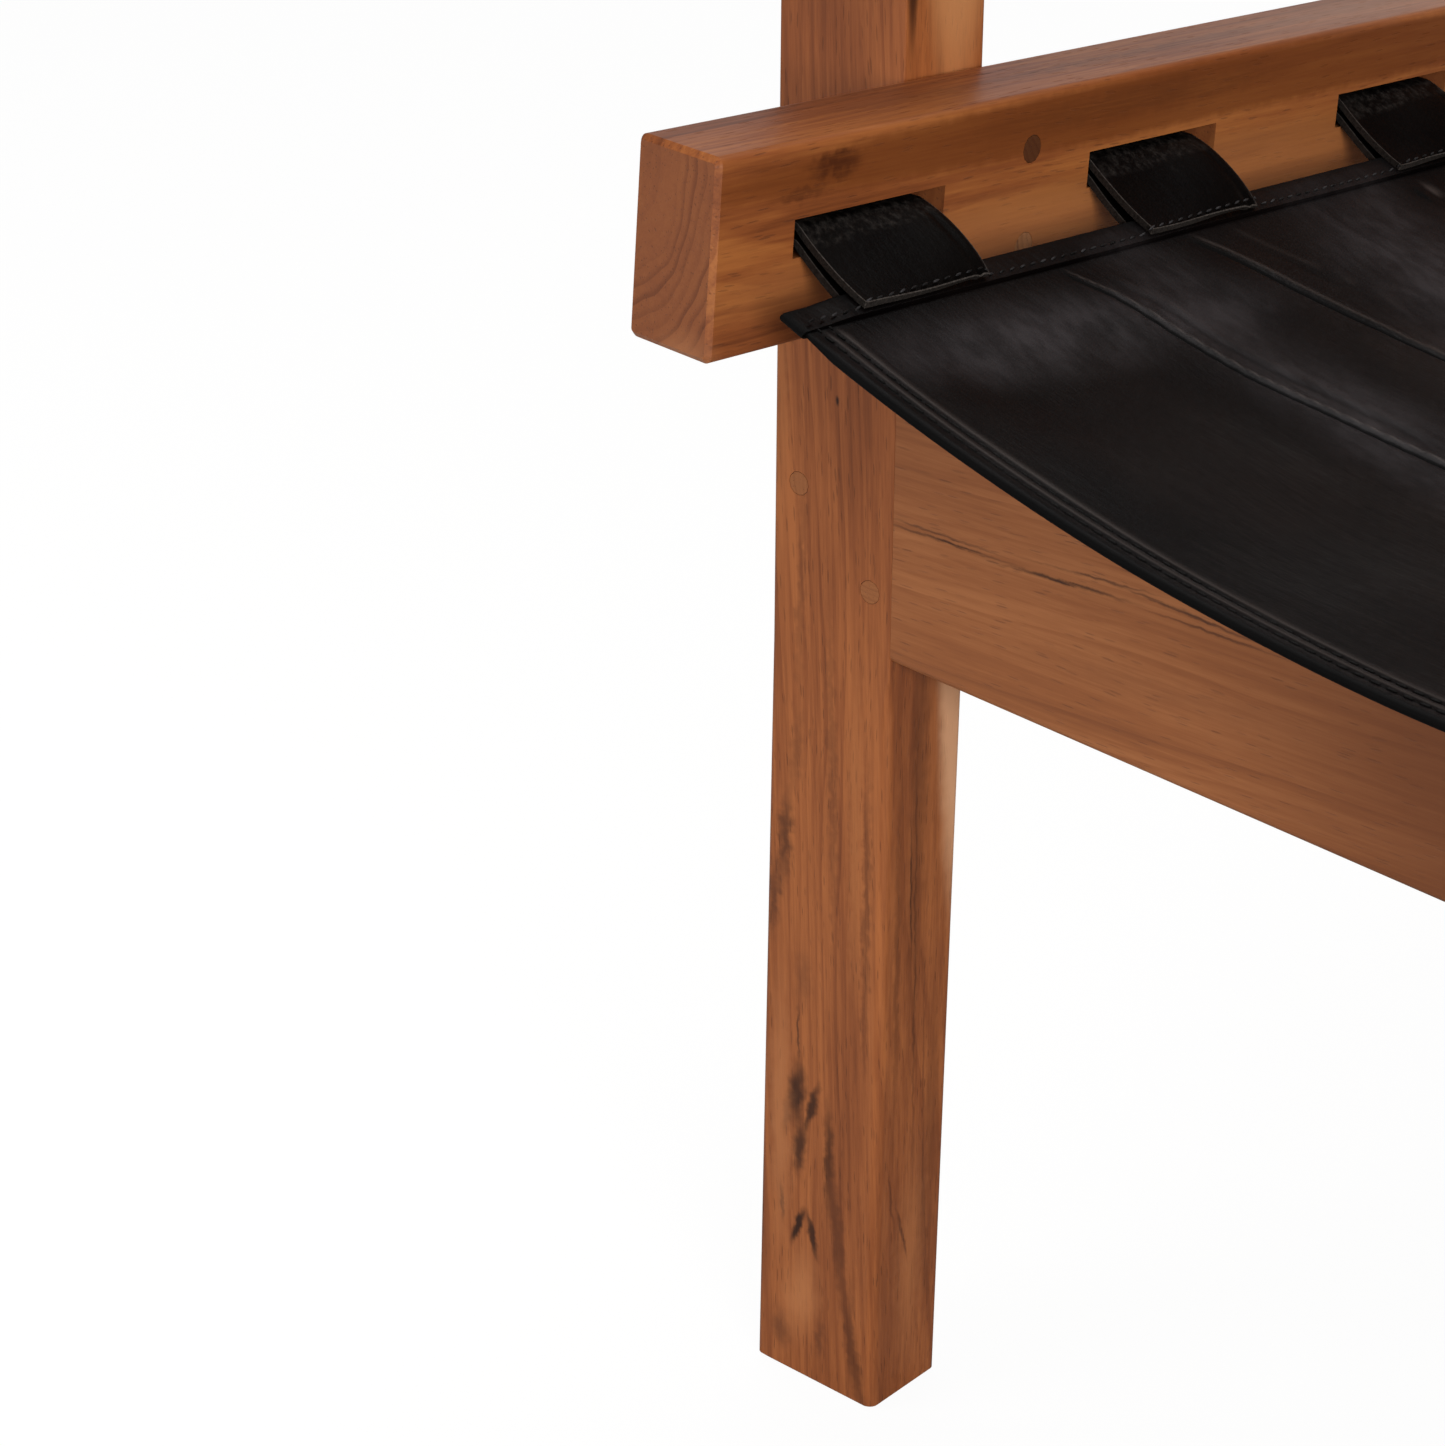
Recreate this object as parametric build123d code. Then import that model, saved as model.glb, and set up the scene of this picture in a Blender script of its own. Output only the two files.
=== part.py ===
from build123d import *
from math import acos, asin, atan2, cos, hypot, pi, radians, sin, tan
import os

# A teak armchair with a black leather sling seat and a sling back, in millimetres.
# +Z is up, the chair looks towards -Y, and left and right are as seen from its front.
# Each seat rail and back stile is a board with slots. A doubled leather tab passes through
# each slot and is looped round a loose dowel behind it, and the slings are sewn to the tabs.

# Legs
INNER_WIDTH = 580.0      # between the inner faces of the left and right legs
LEG_WIDTH = 45.0         # across the chair
LEG_DEPTH = 35.0         # front to back
FOOT_WIDTH = 48.0        # the outer face spreads below the knee
FOOT_DEPTH = 32.0        # the back face tapers below the knee
KNEE_DROP = 5.0          # from the front apron's lower edge to where the legs start to change
LEG_ARRIS = 2.5
JOINT_ARRIS = 0.4        # the inner front edge, where the apron meets it
KNEE_ARRIS = 3.0         # and its stopped round-over below the knee
KNEE_RUN = 12.0          # height over which that round-over fades out
FOOT_ARRIS = 1.5
REAR_LEG_RAKE = 8.0      # degrees, foot to the rear
REAR_LEG_DROP = 3.0      # from the seat rail's top to the rear leg's top

# Slotted boards: the seat rails and the back stiles
BOARD_THICKNESS = 31.0
BOARD_HEIGHT = 52.0
BOARD_ARRIS = 2.5
END_ARRIS = 1.5          # round the ends of the boards
SLOT_LENGTH = 60.0
SLOT_HEIGHT = 10.0
SLOT_DROP = 19.5         # from the board's top face to the slot
SLOT_BEFORE_LEG = 19.0   # the first two slots of the seat rail keep clear of the front leg
SLOT_BEHIND_LEG = 9.0

# Seat rails
RAIL_HEIGHT = 430.0      # top of the rail above the floor at the front leg's face
RAIL_TILT = 4.7          # degrees, down to the rear
RAIL_NOSE = 30.0         # ahead of the first slot
RAIL_TAIL = 36.0         # behind the middle of the rear leg
RAIL_SKEW = 4.4          # the front end is cut out of square by this much
SEAT_TAB_COUNT = 4

# Back stiles and the rails between them
STILE_GAP = 56.0         # from the last slot of the seat rail
STILE_AHEAD = 60.0       # of the middle of the rear leg
STILE_RECLINE = 18.0     # degrees from upright
STILE_CAP = 6.0          # above the top back rail
BACK_TAB_COUNT = 3
BACK_RAIL_THICKNESS = 22.0
BACK_RAIL_HEIGHT = 40.0
BACK_RAIL_SET_IN = 14.0  # behind the front face of the stiles
LOW_BACK_RAIL_PLACE = 16.0
TOP_BACK_RAIL_GAP = 8.0  # above the back sling

# Aprons
APRON_THICKNESS = 22.0
APRON_HEIGHT = 115.0     # where the front apron meets the leg
APRON_SLOPE = 3.6        # degrees, down to the middle
APRON_MIDDLE = 120.0     # length of the rounded middle of that edge
APRON_TOP_GAP = 2.0      # below the seat rail
APRON_DISH = 53.0        # how far the top edge is hollowed for the sling
APRON_ARRIS = 3.0
REAR_APRON_GAP = 12.0    # below the seat rails
REAR_APRON_HEIGHT = 84.0

# Armrests
ARM_RISE = 134.0         # from the seat rail's top to the underside
ARM_THICKNESS = 22.0
ARM_WIDTH = 60.0
ARM_FRONT = 50.0         # ahead of the front leg
ARM_TAIL = 38.0          # behind the middle of the back stile
ARM_CORNER = 18.0
ARM_ARRIS = 4.0

# Tenons, pegs, screws and plugs
FIT = 0.15               # on each side of a tenon, a peg, a plug or a screw
ROD_SIDES = 12           # flats on pegs, plugs and dowels, and on their holes
SCREW_SIDES = 8
TENON_THICKNESS = 12.0
TENON_SHOULDER = 8.0     # above and below the tenons of the rear apron and the back rails
TENON_REST = 5.5         # from an apron's tenon to the leg's outer face
APRON_TENON_FOOT = 12.0  # from the front apron's lower edge up to its tenon
APRON_TENON_HEAD = 11.0  # and from its upper edge down
BACK_TENON = 20.0
FOOT_TENON_LENGTH = 34.0  # tenon under the back stile
FOOT_TENON_DEPTH = 22.0
ARM_TENON_SIDE = 20.0
ARM_TENON_HEIGHT = 14.0
PEG_DIAMETER = 7.0
PEG_PAST = 2.5           # how far a peg passes a tenon in the middle of a leg
PEG_FROM_INSIDE = 8.0    # the lower peg, from the leg's inner face
PEG_FROM_OUTSIDE = 10.0  # the upper one, from its outer face
PEG_UP = 20.0            # the lower peg, above the front apron's lower edge
PEG_RISE = 26.0          # from the lower peg to the upper one
PLUG_DIAMETER = 7.5
PLUG_LENGTH = 6.5
PLUG_DROP = 15.0         # the upper plug, below the rail's top
PLUG_RISE = 10.5         # the lower one, above the rail's underside
ARM_PLUG_SPREAD = 26.0
SCREW_SHANK = 4.5
SCREW_HEAD = 7.2
SCREW_HEAD_HEIGHT = 2.8
SCREW_LENGTH = 52.0
SCREW_POINT = 6.0
SCREW_TIP = 0.8

# Leather
LEATHER = 2.2
SLOT_SPARE = 0.3         # between the tab and the top or bottom of its slot
TAB_SIDE_GAP = 4.0       # from a tab to each end of its slot
TAB_STEEP_REST = 2.5     # the tab meets the sling's slope this far short of the sling's edge
TAB_LAP = 10.0           # how far the tab runs on along the sling's edge
DOWEL_DIAMETER = 12.0
DOWEL_OVER = 4.0         # how far a dowel passes each end of its slot
DOWEL_SPARE = 0.3        # round the dowel, and between the loop and the board
SLING_GAP = 15.0         # from the board to the sling's side edge
SLING_DROP = 35.0        # from the board's top face to the sling's side edge
SLING_SAG = 51.0
SLING_WAVE = 3.0         # extra sag between the tabs
WAVE_STEPS = 3           # sections from one tab to the next
SLING_OVERHANG = 24.0    # beyond the first and last tabs
SIDE_HEM_WIDTH = 8.0
SIDE_HEM = 1.8           # turned-over strip on top of the side edges
END_HEM_WIDTH = 12.0
SEAM_SPARE = 0.3         # between the tab's layers and the sling between them

# Worked out from the sizes above
HALF_WIDTH = INNER_WIDTH / 2
HALF_SLING = HALF_WIDTH - BOARD_THICKNESS - SLING_GAP
SLOT_MIDDLE = SLOT_DROP + SLOT_HEIGHT / 2
SLOT_PITCH = SLOT_LENGTH + SLOT_BEFORE_LEG + LEG_DEPTH + SLOT_BEHIND_LEG
TAB_WIDTH = SLOT_LENGTH - 2 * TAB_SIDE_GAP
TAB_STEEP = SLING_GAP - TAB_STEEP_REST
DOWEL_AWAY = DOWEL_DIAMETER / 2 + DOWEL_SPARE + LEATHER + DOWEL_SPARE
TENON_LENGTH = LEG_WIDTH - TENON_REST
PEG_LENGTH = (LEG_DEPTH + TENON_THICKNESS) / 2 + PEG_PAST
PLUG_PLACES = (PLUG_DROP, BOARD_HEIGHT - PLUG_RISE)
TILT = radians(RAIL_TILT)
RECLINE = radians(STILE_RECLINE)
RAKE = radians(REAR_LEG_RAKE)

# Along the seat rail, from the front leg's face
SEAT_SLOTS = [i * SLOT_PITCH - SLOT_BEFORE_LEG - SLOT_LENGTH for i in range(SEAT_TAB_COUNT)]
RAIL_START = SEAT_SLOTS[0] - RAIL_NOSE
STILE_ALONG = SEAT_SLOTS[-1] + SLOT_LENGTH + STILE_GAP
REAR_LEG_ALONG = STILE_ALONG + STILE_AHEAD
RAIL_END = REAR_LEG_ALONG + RAIL_TAIL

# Where the stile stands, and where the armrest crosses it
STILE_PLACE = STILE_ALONG * cos(TILT)
STILE_BASE = RAIL_HEIGHT - STILE_ALONG * sin(TILT)
ARM_HEIGHT = RAIL_HEIGHT + ARM_RISE
ARM_MIDDLE = ARM_HEIGHT + ARM_THICKNESS / 2
ARM_CROSSING = (ARM_MIDDLE - STILE_BASE + SLOT_MIDDLE * sin(RECLINE)) / cos(RECLINE)
ARM_AT_STILE = (STILE_PLACE + (ARM_MIDDLE - STILE_BASE) * tan(RECLINE)
                + BOARD_HEIGHT / 2 / cos(RECLINE))
ARM_REAR = ARM_AT_STILE + ARM_TAIL

# Along the stile, from the seat rail's top: the armrest passes between the first two slots
BACK_SLOTS = [ARM_CROSSING - (SLOT_PITCH + SLOT_LENGTH) / 2 + i * SLOT_PITCH
              for i in range(BACK_TAB_COUNT)]
TOP_BACK_RAIL_PLACE = (BACK_SLOTS[-1] + SLOT_LENGTH - TAB_SIDE_GAP + SLING_OVERHANG
                       + TOP_BACK_RAIL_GAP)
STILE_LENGTH = TOP_BACK_RAIL_PLACE + BACK_RAIL_HEIGHT + STILE_CAP

# Heights of the front apron
RAIL_BOTTOM = RAIL_HEIGHT - BOARD_HEIGHT / cos(TILT)
APRON_HIGH = RAIL_BOTTOM - APRON_THICKNESS * tan(TILT) - APRON_TOP_GAP
APRON_LOW = APRON_HIGH - APRON_HEIGHT
KNEE_HEIGHT = APRON_LOW - KNEE_DROP
PEG_PLACES = ((PEG_FROM_INSIDE, APRON_LOW + PEG_UP),
              (LEG_WIDTH - PEG_FROM_OUTSIDE, APRON_LOW + PEG_UP + PEG_RISE))



def rear_leg_up(drop):
    """How far up the rear leg its middle crosses a line below the seat rail's top."""
    crossing = RAIL_HEIGHT - REAR_LEG_ALONG * sin(TILT)
    return (crossing - LEG_DEPTH / 2 * sin(RAKE)) / cos(RAKE) - drop / cos(RAKE + TILT)


REAR_LEG_PLACE = (REAR_LEG_ALONG * cos(TILT) - LEG_DEPTH / 2 * cos(RAKE)
                  + rear_leg_up(0) * sin(RAKE))
REAR_LEG_LENGTH = rear_leg_up(REAR_LEG_DROP)
REAR_APRON_LOW = rear_leg_up(BOARD_HEIGHT + REAR_APRON_GAP) - REAR_APRON_HEIGHT

# The two frames that slotted boards and slings are made in: X across the chair,
# Y along the board and Z out of the board's top face towards the sitter.
SEAT_FRAME = Pos(0, 0, RAIL_HEIGHT) * Rot(-RAIL_TILT, 0, 0)
BACK_FRAME = Pos(0, STILE_PLACE, STILE_BASE) * Rot(90 - STILE_RECLINE, 0, 0)
REAR_LEG_FRAME = Pos(0, REAR_LEG_PLACE, 0) * Rot(REAR_LEG_RAKE, 0, 0)


def block(x, y, z):
    """A box from three (low, high) pairs."""
    size = [high - low for low, high in (x, y, z)]
    middle = [(high + low) / 2 for low, high in (x, y, z)]
    return Pos(*middle) * Box(*size)


def rod(diameter, length, start, along):
    """A rod from a point in a direction, with flats in place of its round."""
    section = Plane(origin=start, z_dir=along) * RegularPolygon(diameter / 2, ROD_SIDES)
    return extrude(section, length, dir=along)


def long_edges(solid, axis, share=0.9):
    """The edges that run nearly along an axis."""
    return [e for e in solid.edges() if abs((e.tangent_at(0.5)).dot(axis)) > share]


def to_side(piece, right):
    """Moves a piece from the leg's inner face to the left or right of the chair."""
    left = Pos(-HALF_WIDTH, 0, 0) * piece
    return mirror(left, about=Plane.YZ) if right else left


def leg_section(height, inset=0, inner_arris=LEG_ARRIS, slope=0):
    """The leg's outline at a height: even above the knee, wider and thinner below it.
    A raked leg's sole is level, so its outline slopes in the leg's own frame."""
    below = max(0, KNEE_HEIGHT - height) / KNEE_HEIGHT
    width = LEG_WIDTH + (FOOT_WIDTH - LEG_WIDTH) * below - 2 * inset
    depth = LEG_DEPTH + (FOOT_DEPTH - LEG_DEPTH) * below - 2 * inset
    corners = ((-inset, inset, inner_arris), (-inset, inset + depth, LEG_ARRIS),
               (-inset - width, inset + depth, LEG_ARRIS), (-inset - width, inset, LEG_ARRIS))
    edges = []
    ends = []
    for i, (corner_x, corner_y, radius) in enumerate(corners):
        centre_x = corner_x - radius if corner_x == -inset else corner_x + radius
        centre_y = corner_y + radius if corner_y == inset else corner_y - radius
        turn = pi / 2 * i - pi / 4
        arc = []
        for step in (-1, 0, 1):
            x = centre_x + radius * cos(turn + step * pi / 4)
            y = centre_y + radius * sin(turn + step * pi / 4)
            arc.append((x, y, height - y * slope))
        edges.append(ThreePointArc(*arc))
        ends.append((arc[0], arc[-1]))
    for i in range(len(ends)):
        edges.append(Line(ends[i][1], ends[(i + 1) % len(ends)][0]))
    return Wire(edges)


def post(stations):
    """A leg lofted in straight lines through its outlines at some heights."""
    return Solid.make_loft([leg_section(*station) for station in stations], ruled=True)


def screw_with_plug(start, along):
    """A countersunk wood screw and the plug over its head, from a board's face."""
    point = Plane(origin=start, z_dir=along)
    head_low = PLUG_LENGTH + FIT
    shank_low = head_low + SCREW_HEAD_HEIGHT
    tip = head_low + SCREW_LENGTH
    widths = ((head_low, SCREW_HEAD), (shank_low, SCREW_SHANK),
              (tip - SCREW_POINT, SCREW_SHANK), (tip, SCREW_TIP))
    screw = loft([Pos(0, 0, deep) * RegularPolygon(width / 2, SCREW_SIDES)
                  for deep, width in widths], ruled=True)
    return point * screw, rod(PLUG_DIAMETER, PLUG_LENGTH, start, along)


def screw_hole(start, along):
    """The stepped hole for a screw and its plug."""
    deep = PLUG_LENGTH + FIT + SCREW_LENGTH + FIT
    step = PLUG_LENGTH + FIT + SCREW_HEAD_HEIGHT
    return (rod(PLUG_DIAMETER + 2 * FIT, step, start, along)
            + rod(SCREW_SHANK + 2 * FIT, deep, start, along))


def slotted_board(start, end, skew, slots):
    """A seat rail or back stile: along Y, its outer face on X = 0, its top face on Z = 0."""
    plan = make_face(Polyline(
        (0, start + skew), (BOARD_THICKNESS, start), (BOARD_THICKNESS, end), (0, end),
        close=True))
    board = extrude(plan, BOARD_HEIGHT, dir=(0, 0, -1))
    board = fillet(long_edges(board, Vector(0, 1, 0)), BOARD_ARRIS)
    ends = [face for face in board.faces() if abs(face.normal_at().Y) > 0.9]
    board = chamfer([edge for face in ends for edge in face.edges()], END_ARRIS)
    for low in slots:
        board -= block((-BOARD_ARRIS, BOARD_THICKNESS + BOARD_ARRIS),
                       (low, low + SLOT_LENGTH),
                       (-SLOT_DROP - SLOT_HEIGHT, -SLOT_DROP))
    return board


def front_screw_places():
    """Points on the rail's inner face, over the middle of the front leg."""
    along = LEG_DEPTH / 2 / cos(TILT)
    return [SEAT_FRAME * Pos(BOARD_THICKNESS, along, -drop) for drop in PLUG_PLACES]


def rear_screw_places():
    """Points on the rail's inner face, over the middle of the rear leg."""
    return [SEAT_FRAME * Pos(BOARD_THICKNESS, REAR_LEG_ALONG + drop * tan(RAKE + TILT), -drop)
            for drop in PLUG_PLACES]


def arm_screw_places():
    """Points on the stile's inner face, level with the middle of the armrest."""
    return [Pos(BOARD_THICKNESS, ARM_AT_STILE + side * ARM_PLUG_SPREAD / 2, ARM_MIDDLE)
            for side in (-1, 1)]


def drilled(piece, places):
    """Takes the screw holes of a list of places out of a piece."""
    for place in places:
        piece -= screw_hole(place.position, (-1, 0, 0))
    return piece


def apron_mortise():
    """The slot in a front leg for the apron's tenon."""
    set_in = (APRON_THICKNESS - TENON_THICKNESS) / 2
    return block((-TENON_LENGTH - FIT, 0),
                 (set_in - FIT, set_in + TENON_THICKNESS + FIT),
                 (APRON_LOW + APRON_TENON_FOOT - FIT, APRON_HIGH - APRON_TENON_HEAD + FIT))


def rear_apron_tenon(spare, reach):
    """The rear apron's tenon, or with some spare its mortise, in the rear leg's frame."""
    set_in = (LEG_DEPTH - TENON_THICKNESS) / 2
    return block((-TENON_LENGTH - spare, reach),
                 (set_in - spare, set_in + TENON_THICKNESS + spare),
                 (REAR_APRON_LOW + TENON_SHOULDER - spare,
                  REAR_APRON_LOW + REAR_APRON_HEIGHT - TENON_SHOULDER + spare))


def front_peg_places():
    """Where the pegs enter the front face of a front leg."""
    return [Pos(-across, 0, up) for across, up in PEG_PLACES]


def rear_peg_places():
    """Where the pegs enter the rear face of a rear leg."""
    middle = REAR_APRON_LOW + REAR_APRON_HEIGHT / 2
    return [REAR_LEG_FRAME * Pos(-TENON_LENGTH / 2, LEG_DEPTH, middle + side * PEG_RISE / 2)
            for side in (-1, 1)]


def rear_peg_way():
    """The direction in which the pegs go into the rear leg."""
    return (0, -cos(RAKE), -sin(RAKE))


def arm_tenon(spare):
    """The tenon on top of the front leg, or with some spare its mortise."""
    low_x = -(LEG_WIDTH + ARM_TENON_SIDE) / 2
    low_y = (LEG_DEPTH - ARM_TENON_SIDE) / 2
    return block((low_x - spare, low_x + ARM_TENON_SIDE + spare),
                 (low_y - spare, low_y + ARM_TENON_SIDE + spare),
                 (ARM_HEIGHT, ARM_HEIGHT + ARM_TENON_HEIGHT + spare))


def front_leg():
    leg = post([(0, FOOT_ARRIS, KNEE_ARRIS), (FOOT_ARRIS, 0, KNEE_ARRIS),
                (KNEE_HEIGHT - KNEE_RUN, 0, KNEE_ARRIS), (KNEE_HEIGHT, 0, JOINT_ARRIS),
                (ARM_HEIGHT, 0, JOINT_ARRIS)])
    leg = leg + arm_tenon(0) - apron_mortise()
    for place in front_peg_places():
        leg -= rod(PEG_DIAMETER + 2 * FIT, PEG_LENGTH + FIT, place.position, (0, 1, 0))
    return drilled(leg, front_screw_places())


def rear_leg():
    slope = tan(RAKE)
    leg = REAR_LEG_FRAME * post([
        (0, FOOT_ARRIS, LEG_ARRIS, slope), (FOOT_ARRIS, 0, LEG_ARRIS, slope), (KNEE_HEIGHT,),
        (REAR_LEG_LENGTH - FOOT_ARRIS,), (REAR_LEG_LENGTH, FOOT_ARRIS)])
    leg -= REAR_LEG_FRAME * rear_apron_tenon(FIT, 0)
    for place in rear_peg_places():
        leg -= rod(PEG_DIAMETER + 2 * FIT, PEG_LENGTH + FIT, place.position, rear_peg_way())
    return drilled(leg, rear_screw_places())


def stile_tenon(spare):
    """The tenon under the back stile, or with some spare its mortise, in the seat's frame."""
    thick_low = (BOARD_THICKNESS - TENON_THICKNESS) / 2
    board = BOARD_HEIGHT / cos(RECLINE)
    start = STILE_ALONG + (board - FOOT_TENON_LENGTH) / 2
    return SEAT_FRAME * block((thick_low - spare, thick_low + TENON_THICKNESS + spare),
                              (start - spare, start + FOOT_TENON_LENGTH + spare),
                              (-FOOT_TENON_DEPTH - spare, 0))


def seat_rail():
    rail = SEAT_FRAME * slotted_board(RAIL_START, RAIL_END, RAIL_SKEW, SEAT_SLOTS)
    rail -= stile_tenon(FIT)
    return drilled(rail, front_screw_places() + rear_screw_places())


def back_rail_tenon(place, spare):
    """The end of a rail between the stiles, or with some spare its mortise."""
    set_in = BACK_RAIL_SET_IN + (BACK_RAIL_THICKNESS - TENON_THICKNESS) / 2
    return block((BOARD_THICKNESS - BACK_TENON - spare, BOARD_THICKNESS),
                 (place + TENON_SHOULDER - spare,
                  place + BACK_RAIL_HEIGHT - TENON_SHOULDER + spare),
                 (-set_in - TENON_THICKNESS - spare, -set_in + spare))


def back_stile():
    below = BOARD_HEIGHT * tan(RECLINE)
    board = slotted_board(-below, STILE_LENGTH, 0, BACK_SLOTS)
    for place in (LOW_BACK_RAIL_PLACE, TOP_BACK_RAIL_PLACE):
        board -= back_rail_tenon(place, FIT)
    stile = BACK_FRAME * board
    under = SEAT_FRAME * block((-BOARD_THICKNESS, 2 * BOARD_THICKNESS),
                               (STILE_PLACE - 2 * BOARD_HEIGHT, STILE_PLACE + 3 * BOARD_HEIGHT),
                               (-2 * BOARD_HEIGHT, 0))
    stile = stile - under + stile_tenon(0)
    return drilled(stile, arm_screw_places())


def armrest():
    middle = (-ARM_WIDTH / 2, (ARM_REAR - ARM_FRONT) / 2)
    plan = Pos(*middle) * Rectangle(ARM_WIDTH, ARM_REAR + ARM_FRONT)
    front = plan.vertices().sort_by(Axis.Y)[:2]
    plan = fillet(front, ARM_CORNER)
    board = Pos(0, 0, ARM_HEIGHT) * extrude(plan, ARM_THICKNESS)
    rims = [e for e in board.edges() if abs(e.tangent_at(0.5).Z) < 0.5]
    board = chamfer(rims, ARM_ARRIS) - arm_tenon(FIT)
    return drilled(board, arm_screw_places())


def front_apron():
    """Hollowed along the top for the sling and let into both front legs."""
    slope = tan(radians(APRON_SLOPE))
    flat = HALF_WIDTH - APRON_MIDDLE / 2
    low_side = APRON_LOW - flat * slope
    low_middle = low_side - APRON_MIDDLE / 4 * slope
    hollow = HALF_WIDTH - BOARD_THICKNESS
    half = APRON_MIDDLE / 2
    outline = [
        Line((-HALF_WIDTH, APRON_LOW), (-half, low_side)),
        ThreePointArc((-half, low_side), (0, low_middle), (half, low_side)),
        Line((half, low_side), (HALF_WIDTH, APRON_LOW)),
        Line((HALF_WIDTH, APRON_LOW), (HALF_WIDTH, APRON_HIGH)),
        Line((HALF_WIDTH, APRON_HIGH), (hollow, APRON_HIGH)),
        ThreePointArc((hollow, APRON_HIGH), (0, APRON_HIGH - APRON_DISH), (-hollow, APRON_HIGH)),
        Line((-hollow, APRON_HIGH), (-HALF_WIDTH, APRON_HIGH)),
        Line((-HALF_WIDTH, APRON_HIGH), (-HALF_WIDTH, APRON_LOW)),
    ]
    board = extrude(Plane.XZ * make_face(outline), APRON_THICKNESS, dir=(0, 1, 0))
    rims = [e for e in board.edges() if abs(e.center().X) < HALF_WIDTH - APRON_ARRIS
            and abs(e.tangent_at(0.5).Y) < 0.5 and e.center().Z < APRON_LOW]
    board = fillet(rims, APRON_ARRIS)
    set_in = (APRON_THICKNESS - TENON_THICKNESS) / 2
    tenon = block((-TENON_LENGTH, TENON_SHOULDER), (set_in, set_in + TENON_THICKNESS),
                  (APRON_LOW + APRON_TENON_FOOT, APRON_HIGH - APRON_TENON_HEAD))
    for place in front_peg_places():
        tenon -= rod(PEG_DIAMETER + 2 * FIT, PEG_LENGTH + FIT, place.position, (0, 1, 0))
    return board + to_side(tenon, False) + to_side(tenon, True)


def rear_apron():
    """A plain rail between the rear legs, in line with their rake."""
    set_in = (LEG_DEPTH - APRON_THICKNESS) / 2
    board = block((-HALF_WIDTH, HALF_WIDTH), (set_in, set_in + APRON_THICKNESS),
                  (REAR_APRON_LOW, REAR_APRON_LOW + REAR_APRON_HEIGHT))
    board = REAR_LEG_FRAME * fillet(long_edges(board, Vector(1, 0, 0)), APRON_ARRIS)
    tenon = REAR_LEG_FRAME * rear_apron_tenon(0, TENON_SHOULDER)
    for place in rear_peg_places():
        tenon -= rod(PEG_DIAMETER + 2 * FIT, PEG_LENGTH + FIT, place.position, rear_peg_way())
    return board + to_side(tenon, False) + to_side(tenon, True)


def back_rail(place):
    """A rail between the stiles."""
    half = HALF_WIDTH - BOARD_THICKNESS
    board = block((-half, half), (place, place + BACK_RAIL_HEIGHT),
                  (-BACK_RAIL_SET_IN - BACK_RAIL_THICKNESS, -BACK_RAIL_SET_IN))
    board = fillet(long_edges(board, Vector(1, 0, 0)), APRON_ARRIS)
    for right in (False, True):
        board += to_side(back_rail_tenon(place, 0) + Pos(TENON_SHOULDER, 0, 0)
                         * back_rail_tenon(place, 0), right)
    return BACK_FRAME * board


def tangent_point(centre, radius, point, side):
    """Where a line from a point touches a circle."""
    across, up = point[0] - centre[0], point[1] - centre[1]
    turn = atan2(up, across) + side * acos(radius / hypot(across, up))
    return (centre[0] + radius * cos(turn), centre[1] + radius * sin(turn))


def tab_half(side):
    """One layer of a tab from the dowel to the sling: its outer points, then its inner ones."""
    slope = sling_edge_slope()
    outer = SLOT_HEIGHT / 2 - SLOT_SPARE
    half_seam = (LEATHER + SIDE_HEM) / 2 + SEAM_SPARE
    seam_middle = -SLING_DROP - (LEATHER - SIDE_HEM) / 2
    seam_out = (half_seam + LEATHER) / cos(slope)
    seam_in = half_seam / cos(slope)
    points_out = [(x, -SLOT_MIDDLE + side * outer) for x in (0, BOARD_THICKNESS)]
    points_in = [(x, -SLOT_MIDDLE + side * (outer - LEATHER)) for x in (0, BOARD_THICKNESS)]
    for out in (TAB_STEEP, TAB_STEEP + TAB_LAP):
        middle = seam_middle - (out - SLING_GAP) * tan(slope)
        points_out.append((BOARD_THICKNESS + out, middle + side * seam_out))
        points_in.append((BOARD_THICKNESS + out, middle + side * seam_in))
    centre = (-DOWEL_AWAY, -SLOT_MIDDLE)
    wrap = DOWEL_DIAMETER / 2 + DOWEL_SPARE
    touch_out = tangent_point(centre, wrap + LEATHER, points_out[0], side)
    touch_in = tangent_point(centre, wrap, points_in[0], side)
    return [touch_out] + points_out, [touch_in] + points_in


def sling_edge_slope():
    """The angle at which the sling meets its side edge."""
    radius = (HALF_SLING ** 2 + SLING_SAG ** 2) / (2 * SLING_SAG)
    return asin(HALF_SLING / radius)


def tab(low):
    """A doubled strip through a slot, looped round its dowel, in a board's frame."""
    top_out, top_in = tab_half(1)
    low_out, low_in = tab_half(-1)
    wrap = DOWEL_DIAMETER / 2 + DOWEL_SPARE
    far_out = (-DOWEL_AWAY - wrap - LEATHER, -SLOT_MIDDLE)
    far_in = (-DOWEL_AWAY - wrap, -SLOT_MIDDLE)

    def arc(start, end, radius):
        a = atan2(start[1] + SLOT_MIDDLE, start[0] + DOWEL_AWAY) % (2 * pi)
        b = atan2(end[1] + SLOT_MIDDLE, end[0] + DOWEL_AWAY) % (2 * pi)
        mid = (a + b) / 2
        through = (-DOWEL_AWAY + radius * cos(mid), -SLOT_MIDDLE + radius * sin(mid))
        return ThreePointArc(start, through, end)

    outline = [
        arc(top_out[0], far_out, wrap + LEATHER), arc(far_out, low_out[0], wrap + LEATHER),
        Polyline(*low_out), Line(low_out[-1], low_in[-1]), Polyline(*reversed(low_in)),
        arc(low_in[0], far_in, wrap), arc(far_in, top_in[0], wrap),
        Polyline(*top_in), Line(top_in[-1], top_out[-1]), Polyline(*reversed(top_out)),
    ]
    start = low + TAB_SIDE_GAP
    profile = Plane.XZ * make_face(outline)
    return Pos(0, start, 0) * extrude(profile, TAB_WIDTH, dir=(0, 1, 0))


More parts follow.
